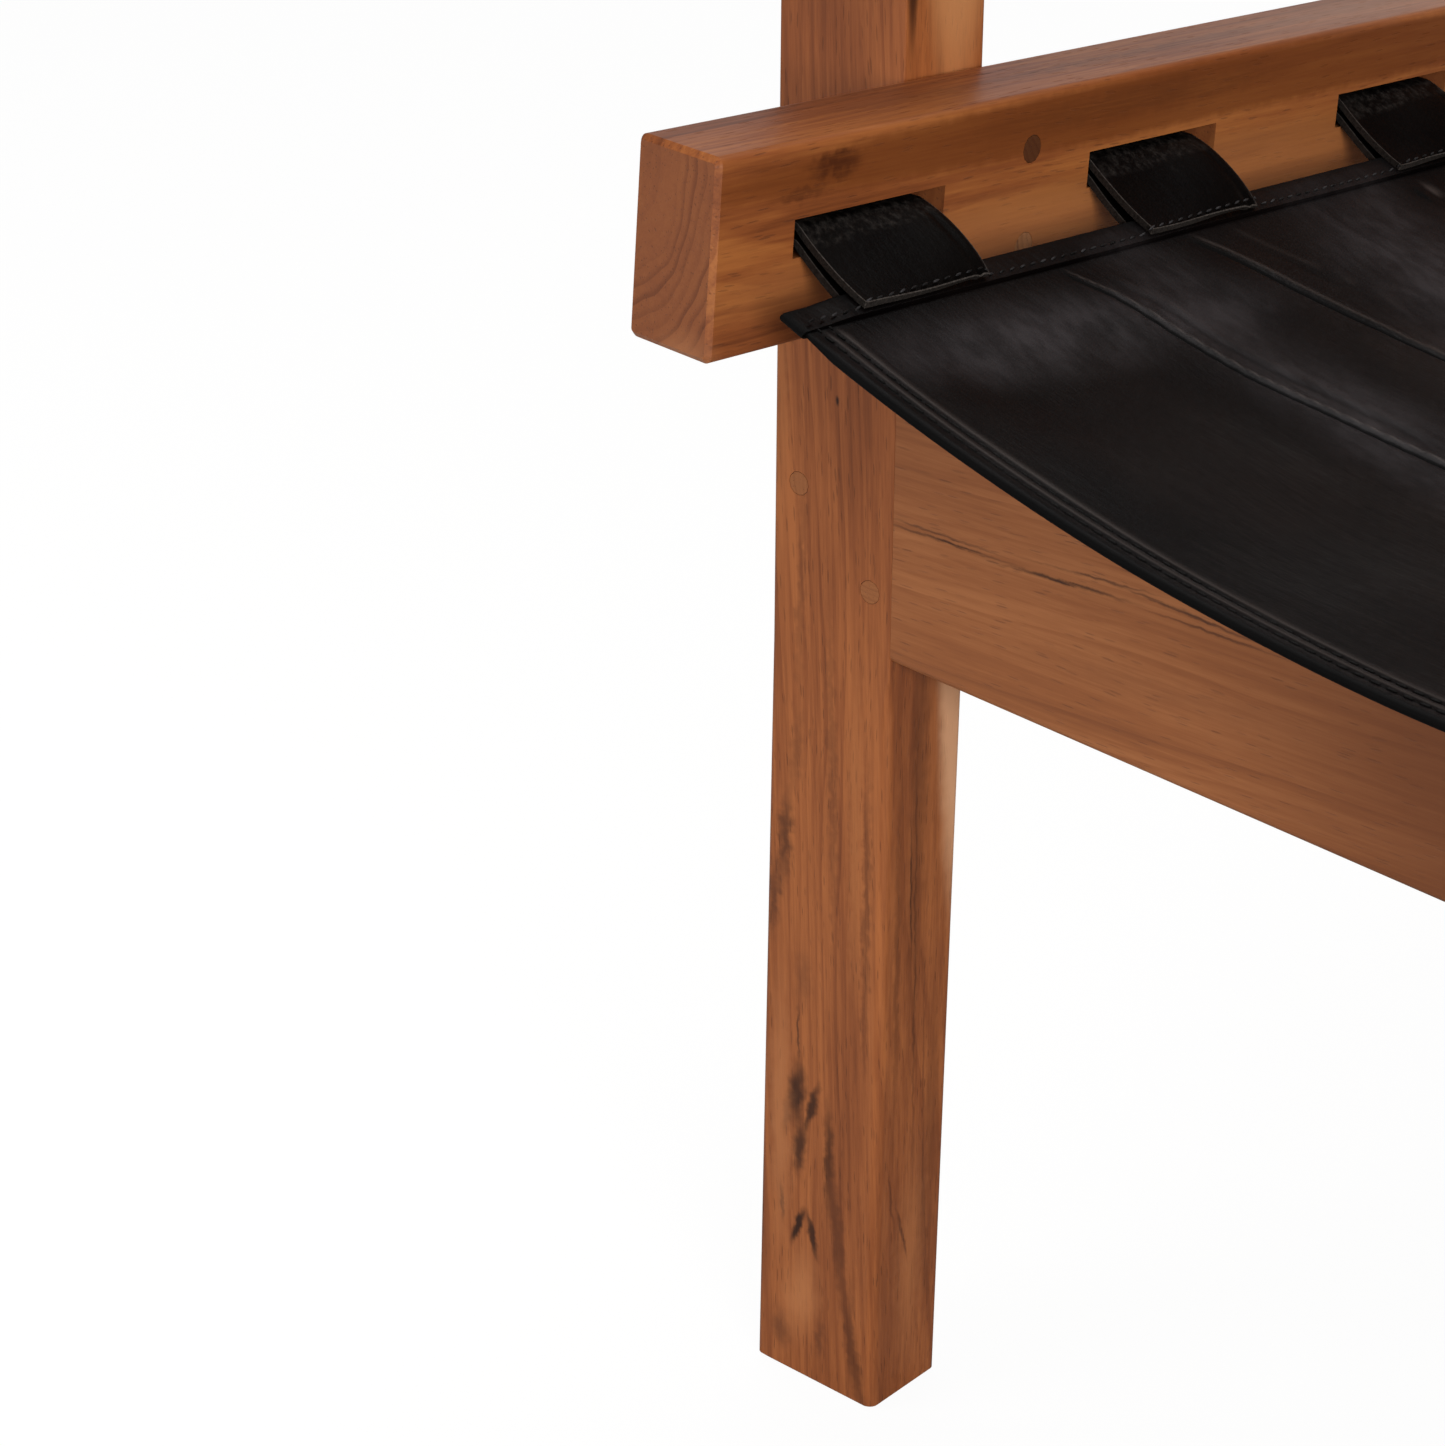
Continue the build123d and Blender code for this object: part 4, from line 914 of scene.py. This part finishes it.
def undulation(across, along, seed):
    """Broad soft swells of the hide, the sum of a few slow waves."""
    draw = np.random.default_rng(seed)
    total = np.zeros(np.broadcast(across, along).shape)
    for _ in range(SWELLS):
        size = draw.uniform(38, 120)
        way = draw.uniform(0, pi)
        start = draw.uniform(0, 2 * pi)
        total += size * SWELL * np.sin(
            2 * pi * (across * cos(way) + along * sin(way)) / size + start)
    return total


def bake(piece, modifier):
    """Turns what a modifier makes into the piece's own mesh."""
    bpy.context.view_layer.update()
    shown = piece.evaluated_get(bpy.context.evaluated_depsgraph_get())
    mesh = bpy.data.meshes.new_from_object(shown)
    piece.modifiers.remove(modifier)
    piece.data = mesh


def make_sling(name, place, slots, lines, seed):
    """A sling's sheet with its four hems."""
    start, end = extent(slots)
    across = folded_path(spaced(-HALF_ARC, HALF_ARC, *FINE_ACROSS), HEM_SIDE, 1)
    along = folded_path(spaced(start, end, *FINE_ALONG), HEM_END, -1)
    u, hu = (column[None, :] for column in across.T[:2])
    v, hv, nv_v, nv_h = (column[:, None] for column in along.T)
    flat_u = u + 0 * v
    flat_v = v + hu * nv_v
    from_side = HALF_ARC - abs(flat_u)
    from_end = np.minimum(flat_v - start, end - flat_v)

    # The hide swells softly but lies flat at its hems, and the creases die out there too
    rise, rub_and_painted_shade = creases(flat_u + HALF_ARC, flat_v, lines)
    rise = rise + undulation(flat_u, flat_v, seed)
    rise = rise * np.clip((from_side - SWELL_CLEAR[0]) / SWELL_GROWS[0], 0, 1)
    rise = rise * np.clip((from_end - SWELL_CLEAR[1]) / SWELL_GROWS[1], 0.12, 1)

    # Each row across an end draws the hide in, with painted shade in its groove, and puffs it up
    # beside the row, rubbed paler there
    clear_of_sides = np.clip((from_side - HEM_SIDE) / 5, 0, 1)
    for row in STITCH_ROWS:
        for away in (flat_v - start - row, end - flat_v - row):
            drawn_in = clear_of_sides * np.exp(-(away / ROW_WIDTH) ** 2)
            puffed = clear_of_sides * np.exp(-((away - ROW_TO_RIDGE) / ROW_WIDTH) ** 2)
            rise = rise - ROW_GROOVE * drawn_in + ROW_RIDGE * puffed
            rub_and_painted_shade = rub_and_painted_shade - GROOVE_SHADE * drawn_in + RIDGE_RUBBED * puffed

    # Folded edges are darkened with painted shade, and the corners are pared down so that they
    # fold flat
    from_fold = np.maximum(np.minimum(from_end, from_side), 0)
    rub_and_painted_shade = rub_and_painted_shade - FOLD_SHADE * np.exp(-(from_fold / FOLD_SHADE_REACH) ** 2)
    skived = np.clip(np.hypot(from_end, from_side) / SKIVED_OVER, SKIVED_TO, 1)
    points = hanging(flat_u, flat_v, (hv + hu * nv_h) * skived + rise, slots)
    long, wide = points.shape[:2]
    world = points.reshape(-1, 3) @ np.array(place.to_3x3()).T + np.array(place.translation)
    faces = [(j * wide + i, j * wide + i + 1, (j + 1) * wide + i + 1, (j + 1) * wide + i)
             for j in range(long - 1) for i in range(wide - 1)]
    mesh = bpy.data.meshes.new(name)
    mesh.from_pydata((world * MM).tolist(), [], faces)
    mesh.attributes.new("rub_and_painted_shade", "FLOAT", "POINT").data.foreach_set(
        "value", rub_and_painted_shade.reshape(-1).astype(np.float32))
    mesh.materials.append(sling_leather)
    piece = put(name, mesh)
    pared = piece.vertex_groups.new(name="pared_corners")
    for i, share in enumerate(skived.reshape(-1).tolist()):
        pared.add([i], share, "REPLACE")
    thick = piece.modifiers.new("hide", "SOLIDIFY")
    thick.vertex_group = pared.name
    thick.thickness = SLING_HIDE * MM
    thick.offset = 0
    thick.use_even_offset = False
    bake(piece, thick)
    piece.vertex_groups.clear()
    piece.data.shade_smooth()
    piece.data.set_sharp_from_angle(angle=radians(50))
    return piece


# Each crease is its line, from the sling's left edge and along the board, its depth and width,
# and the height of the crest beside it
SEAT_CREASES = [
    (((7, 0), (12, 2), (24, 8), (42, 11.5), (64, 17), (85, 24), (113, 31), (150, 38), (240, 44)),
     1.0, 1.1, 0.45),
    (((14, 12), (30, 18), (52, 22), (80, 31), (130, 42)), 0.35, 2.2, 0.15),
    (((8, 57), (20, 64), (39, 72), (62, 84), (76, 88), (110, 92), (150, 100)), 0.9, 1.7, 0.4),
    (((6, 30), (22, 38), (40, 41)), 0.25, 1.8, 0.12),
    (((9, 74), (22, 80), (48, 96), (90, 110)), 0.3, 2.4, 0.18),
    (((490, 6), (470, 14), (430, 20), (380, 24)), 1.0, 2.4, 0.6),
    (((492, 120), (465, 128), (420, 140)), 0.9, 2.4, 0.5),
    (((10, 168), (40, 178), (90, 186), (130, 186)), 1.0, 2.6, 0.5),
    (((494, 226), (460, 232), (400, 240)), 0.9, 2.6, 0.5),
]
BACK_CREASES = [
    (((10, 190), (40, 196), (95, 205), (150, 206)), 1.1, 2.4, 0.6),
    (((492, 186), (455, 196), (400, 200)), 1.1, 2.4, 0.6),
    (((12, 310), (50, 318), (100, 322)), 0.9, 2.6, 0.5),
    (((490, 306), (450, 300), (390, 298)), 0.9, 2.6, 0.5),
]
seat = make_sling("seat_sling_hide", SEAT, SEAT_SLOTS, SEAT_CREASES, 4)
back = make_sling("back_sling_hide", BACK, BACK_SLOTS, BACK_CREASES, 9)

# Stitches
# Waxed polyester thread through both hides: two black rows across each hemmed end, and one grey
# row down each side, which crosses the tabs' ends on its way.
STITCH_PITCH = 4.4
STITCH = 3.2
THREAD = 0.7              # a coarse thread, flattened by its wax
STITCH_SLANT = radians(9)
THREAD_TWIST = 0.5        # mm
WAX_PATCH = 6.25
GREY = "#3A3839"
BLACK = "#0C0A09"
ROW_STEP = 1.0            # mm between the points that a side row follows over the tabs
CLEAR_OF_EDGE = (3.0, 8.0)     # from the ends to a side row, and from the sides to an end row


def thread(name, tint):
    """Waxed polyester thread: matt, with a fine twist, and blackened in places by the hide."""
    material = bpy.data.materials.new(name)
    material.use_nodes = True
    tree = material.node_tree
    shader = tree.nodes["Principled BSDF"]
    place = add(tree, "ShaderNodeTexCoord").outputs["Object"]
    twist = add(tree, "ShaderNodeTexNoise", {"Vector": place, "Scale": 1 / (THREAD_TWIST * MM)})
    waxy = add(tree, "ShaderNodeTexNoise", {
        "Vector": place, "Scale": 1 / (WAX_PATCH * MM), "Detail": 2.0})
    share = add(tree, "ShaderNodeMapRange", {
        "Value": waxy.outputs[0], "From Min": 0.35, "From Max": 0.62})
    wear_and_sheen = add(tree, "ShaderNodeMix", {
        0: share.outputs[0], 6: linear(tint), 7: linear(BLACK)}, data_type="RGBA")
    tree.links.new(wear_and_sheen.outputs[2], shader.inputs["Base Color"])
    bump = add(tree, "ShaderNodeBump", {
        "Height": twist.outputs[0], "Strength": 0.4, "Distance": 0.1 * MM})
    tree.links.new(bump.outputs[0], shader.inputs["Normal"])
    shader.inputs["Roughness"].default_value = 0.62
    shader.inputs["Specular IOR Level"].default_value = 0.15
    return material


def stitch_tree():
    """Lays small beads of thread along lines of points, square to the lines' own normals."""
    tree = bpy.data.node_groups.new("row_of_stitches", "GeometryNodeTree")
    tree.interface.new_socket("Lines", in_out="INPUT", socket_type="NodeSocketGeometry")
    for socket in ("Pitch", "Stitch length", "Thread", "Slant"):
        tree.interface.new_socket(socket, in_out="INPUT", socket_type="NodeSocketFloat")
    tree.interface.new_socket("Seed", in_out="INPUT", socket_type="NodeSocketInt")
    tree.interface.new_socket("Thread finish", in_out="INPUT", socket_type="NodeSocketMaterial")
    tree.interface.new_socket("Stitches", in_out="OUTPUT", socket_type="NodeSocketGeometry")
    given = add(tree, "NodeGroupInput").outputs
    curves = add(tree, "GeometryNodeMeshToCurve", {"Mesh": given["Lines"]})
    spaced_out = add(tree, "GeometryNodeResampleCurve", {
        "Curve": curves.outputs[0], "Length": given["Pitch"]}, mode="LENGTH")
    tangent = add(tree, "GeometryNodeInputTangent")
    normal = add(tree, "GeometryNodeInputNamedAttribute", {"Name": "row_normal"},
                 data_type="FLOAT_VECTOR")
    along = add(tree, "FunctionNodeAlignRotationToVector", {"Vector": tangent.outputs[0]},
                axis="X")
    upright = add(tree, "FunctionNodeAlignRotationToVector", {
        "Rotation": along.outputs[0], "Vector": normal.outputs[0]}, axis="Z", pivot_axis="X")
    sway = add(tree, "FunctionNodeRandomValue", {2: 0.4, 3: 1.6, "Seed": given["Seed"]},
               data_type="FLOAT")
    slant = add(tree, "ShaderNodeMath", {0: sway.outputs[1], 1: given["Slant"]},
                operation="MULTIPLY")
    lean = add(tree, "ShaderNodeCombineXYZ", {"Z": slant.outputs[0]})
    turned = add(tree, "FunctionNodeRotateRotation", {
        "Rotation": upright.outputs[0],
        "Rotate By": add(tree, "FunctionNodeEulerToRotation", {0: lean.outputs[0]}).outputs[0]},
        rotation_space="LOCAL")
    size = add(tree, "ShaderNodeCombineXYZ", {
        "X": given["Stitch length"], "Y": given["Thread"], "Z": given["Thread"]})
    bead = add(tree, "GeometryNodeMeshUVSphere", {"Segments": 6, "Rings": 4, "Radius": 0.5})
    placed = add(tree, "GeometryNodeInstanceOnPoints", {
        "Points": spaced_out.outputs[0], "Instance": bead.outputs[0],
        "Rotation": turned.outputs[0], "Scale": size.outputs[0]})
    real = add(tree, "GeometryNodeRealizeInstances", {0: placed.outputs[0]})
    smooth = add(tree, "GeometryNodeSetShadeSmooth", {0: real.outputs[0]})
    finish = add(tree, "GeometryNodeSetMaterial", {
        "Geometry": smooth.outputs[0], "Material": given["Thread finish"]})
    add(tree, "NodeGroupOutput", {0: finish.outputs[0]})
    return tree


ROW_OF_STITCHES = stitch_tree()


def sew(name, place, slots, rows, finish, seed):
    """Stitches along rows, each a list of points across and along the sling and over it."""
    points, normals, edges = [], [], []
    for row in rows:
        across, along, over = (np.array(column, dtype=float) for column in zip(*row))
        low = hanging(across, along, over, slots)
        high = hanging(across, along, over + 1, slots)
        edges += [(len(points) + i, len(points) + i + 1) for i in range(len(row) - 1)]
        points += [place @ Vector(p) * MM for p in low]
        normals += [list(place.to_3x3() @ Vector(n)) for n in high - low]
    mesh = bpy.data.meshes.new(name)
    mesh.from_pydata(points, edges, [])
    mesh.attributes.new("row_normal", "FLOAT_VECTOR", "POINT").data.foreach_set(
        "vector", np.array(normals, dtype=np.float32).reshape(-1))
    piece = put(name, mesh)
    nodes = piece.modifiers.new("stitches", "NODES")
    nodes.node_group = ROW_OF_STITCHES
    given = {"Pitch": STITCH_PITCH * MM, "Stitch length": STITCH * MM, "Thread": THREAD * MM,
             "Slant": STITCH_SLANT, "Seed": seed, "Thread finish": finish}
    for socket in ROW_OF_STITCHES.interface.items_tree:
        if socket.name in given:
            nodes[socket.identifier] = given[socket.name]
    bake(piece, nodes)
    return piece


def side_rows(slots):
    """The rows down both sides, over the hem and over the tabs' ends."""
    start, end = extent(slots)
    clear = CLEAR_OF_EDGE[0]
    tabs = [tab_edges(low, i) for i, low in enumerate(slots, 1)]
    hem_top = 2 * FOLD + SLING_HIDE / 2 + THREAD / 4
    tab_top = TAB_RISE + TAB_HIDE / 2 + THREAD / 4
    rows = []
    for side in (-1, 1):
        row = []
        for along in np.arange(start + clear, end - clear, ROW_STEP):
            over = hem_top
            for near, far in tabs:
                share = (along - near) / (far - TAB_SHORTER - near)
                if 0 <= share <= 1:
                    over = tab_top + SLACK_RISE * share * share * (3 - 2 * share)
            row.append((side * (HALF_ARC - SIDE_ROW), along, over))
        rows.append(row)
    return rows


def end_rows(slots):
    """The two rows across each end, in the grooves that they draw."""
    start, end = extent(slots)
    reach = HALF_ARC - CLEAR_OF_EDGE[1]
    over = SLING_HIDE / 2 - ROW_GROOVE + THREAD / 3
    return [[(across, along, over) for across in np.linspace(-reach, reach, 120)]
            for row in STITCH_ROWS for along in (start + row, end - row)]


grey_thread = thread("waxed_grey_polyester_thread", GREY)
black_thread = thread("waxed_black_polyester_thread", BLACK)
for piece, part, place, slots in ((seat, "seat", SEAT, SEAT_SLOTS),
                                  (back, "back", BACK, BACK_SLOTS)):
    node = part + "_sling"
    sides = sew(node + "_side_stitches", place, slots, side_rows(slots), grey_thread, 3)
    ends = sew(node + "_end_stitches", place, slots, end_rows(slots), black_thread, 5)
    for seam in (sides, ends):
        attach(seam, "root")
    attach(piece, "root")
    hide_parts(node)
    wide = 2 * (HALF_ARC + HEM_SIDE)

# Floor, light and camera
# A pale studio floor that keeps the chair's shadow, white all round, a broad soft lamp above
# and to the front, and a weaker one from the right.
FLOOR_REACH = 8.0         # metres, as are the other places and sizes in this section
FLOOR_WHITE = 1.12        # strength of the plain white that the camera sees of the floor
FLOOR_SHARE = 0.85        # how much of what it sees is that; the rest is the shaded paint
floor_mesh = bpy.data.meshes.new("studio_floor")
floor_mesh.from_pydata([(x * FLOOR_REACH, y * FLOOR_REACH, 0) for x, y in
                        ((-1, -1), (1, -1), (1, 1), (-1, 1))], [], [(0, 1, 2, 3)])
floor = put("studio_floor", floor_mesh)
floor_paint = bpy.data.materials.new("matt_white_floor")
tree = blank_tree(floor_paint)
matt = add(tree, "ShaderNodeBsdfDiffuse", {"Color": linear("#B4B2B0")})
white = add(tree, "ShaderNodeEmission", {"Color": (1, 1, 1, 1), "Strength": FLOOR_WHITE})
seen = add(tree, "ShaderNodeLightPath").outputs["Is Camera Ray"]
share = add(tree, "ShaderNodeMath", {0: seen, 1: FLOOR_SHARE}, operation="MULTIPLY")
both = add(tree, "ShaderNodeMixShader", {
    0: share.outputs[0], 1: matt.outputs[0], 2: white.outputs[0]})
add(tree, "ShaderNodeOutputMaterial", {0: both.outputs[0]})
floor_mesh.materials.append(floor_paint)

world = bpy.data.worlds.new("white_studio")
bpy.context.scene.world = world
tree = blank_tree(world)
seen = add(tree, "ShaderNodeLightPath")
dim = add(tree, "ShaderNodeBackground", {"Color": linear("#F4F6FA"), "Strength": 0.1})
bright = add(tree, "ShaderNodeBackground", {"Color": (1, 1, 1, 1), "Strength": 1.0})
both = add(tree, "ShaderNodeMixShader", {
    0: seen.outputs["Is Camera Ray"], 1: dim.outputs[0], 2: bright.outputs[0]})
add(tree, "ShaderNodeOutputWorld", {0: both.outputs[0]})

# Each lamp's place, the point it looks at, its width and height, and its power in watts
LAMPS = (("overhead_softbox", (-0.4, 0.2, 2.3), (-0.1, -0.1, 0.35), 1.6, 1.6, 26.0),
         ("right_softbox", (2.3, -1.9, 1.2), (-0.25, -0.2, 0.3), 1.5, 1.5, 66.0),
         ("left_softbox", (-1.7, -2.5, 1.2), (-0.3, -0.2, 0.4), 1.3, 1.3, 28.0),
         ("backdrop_glow", (-1.3, 3.2, 0.65), (-0.3, -0.2, 0.65), 5.0, 1.3, 20.0))
for name, where, at, wide, high, power in LAMPS:
    lamp = bpy.data.lights.new(name, "AREA")
    lamp.shape = "RECTANGLE"
    lamp.size = wide
    lamp.size_y = high
    lamp.energy = power
    holder = put(name, lamp)
    holder.visible_camera = False
    aim = (Vector(at) - Vector(where)).to_track_quat("-Z", "Y")
    holder.matrix_world = Matrix.Translation(where) @ aim.to_matrix().to_4x4()

CAMERA_PLACE = (0.32945, -1.02386, 0.70989)
CAMERA_TURN = radians(41.642)       # to the left of straight ahead
CAMERA_DOWN = radians(25.475)
CAMERA_ROLL = radians(0.2586)
FOCAL_PIXELS = 3800.0     # the lens's focal length in the picture's pixels
PICTURE_PIXELS = 1446.0   # the picture's longer side
SENSOR = 36.0
camera = bpy.data.cameras.new("camera")
camera.sensor_width = SENSOR
camera.lens = FOCAL_PIXELS / PICTURE_PIXELS * SENSOR
camera.clip_start = 0.05
viewer = put("camera", camera)
viewer.matrix_world = (Matrix.Translation(CAMERA_PLACE) @ Matrix.Rotation(CAMERA_TURN, 4, "Z")
                       @ Matrix.Rotation(pi / 2 - CAMERA_DOWN, 4, "X")
                       @ Matrix.Rotation(CAMERA_ROLL, 4, "Z"))
bpy.context.scene.camera = viewer
bpy.context.scene.view_settings.view_transform = "Standard"
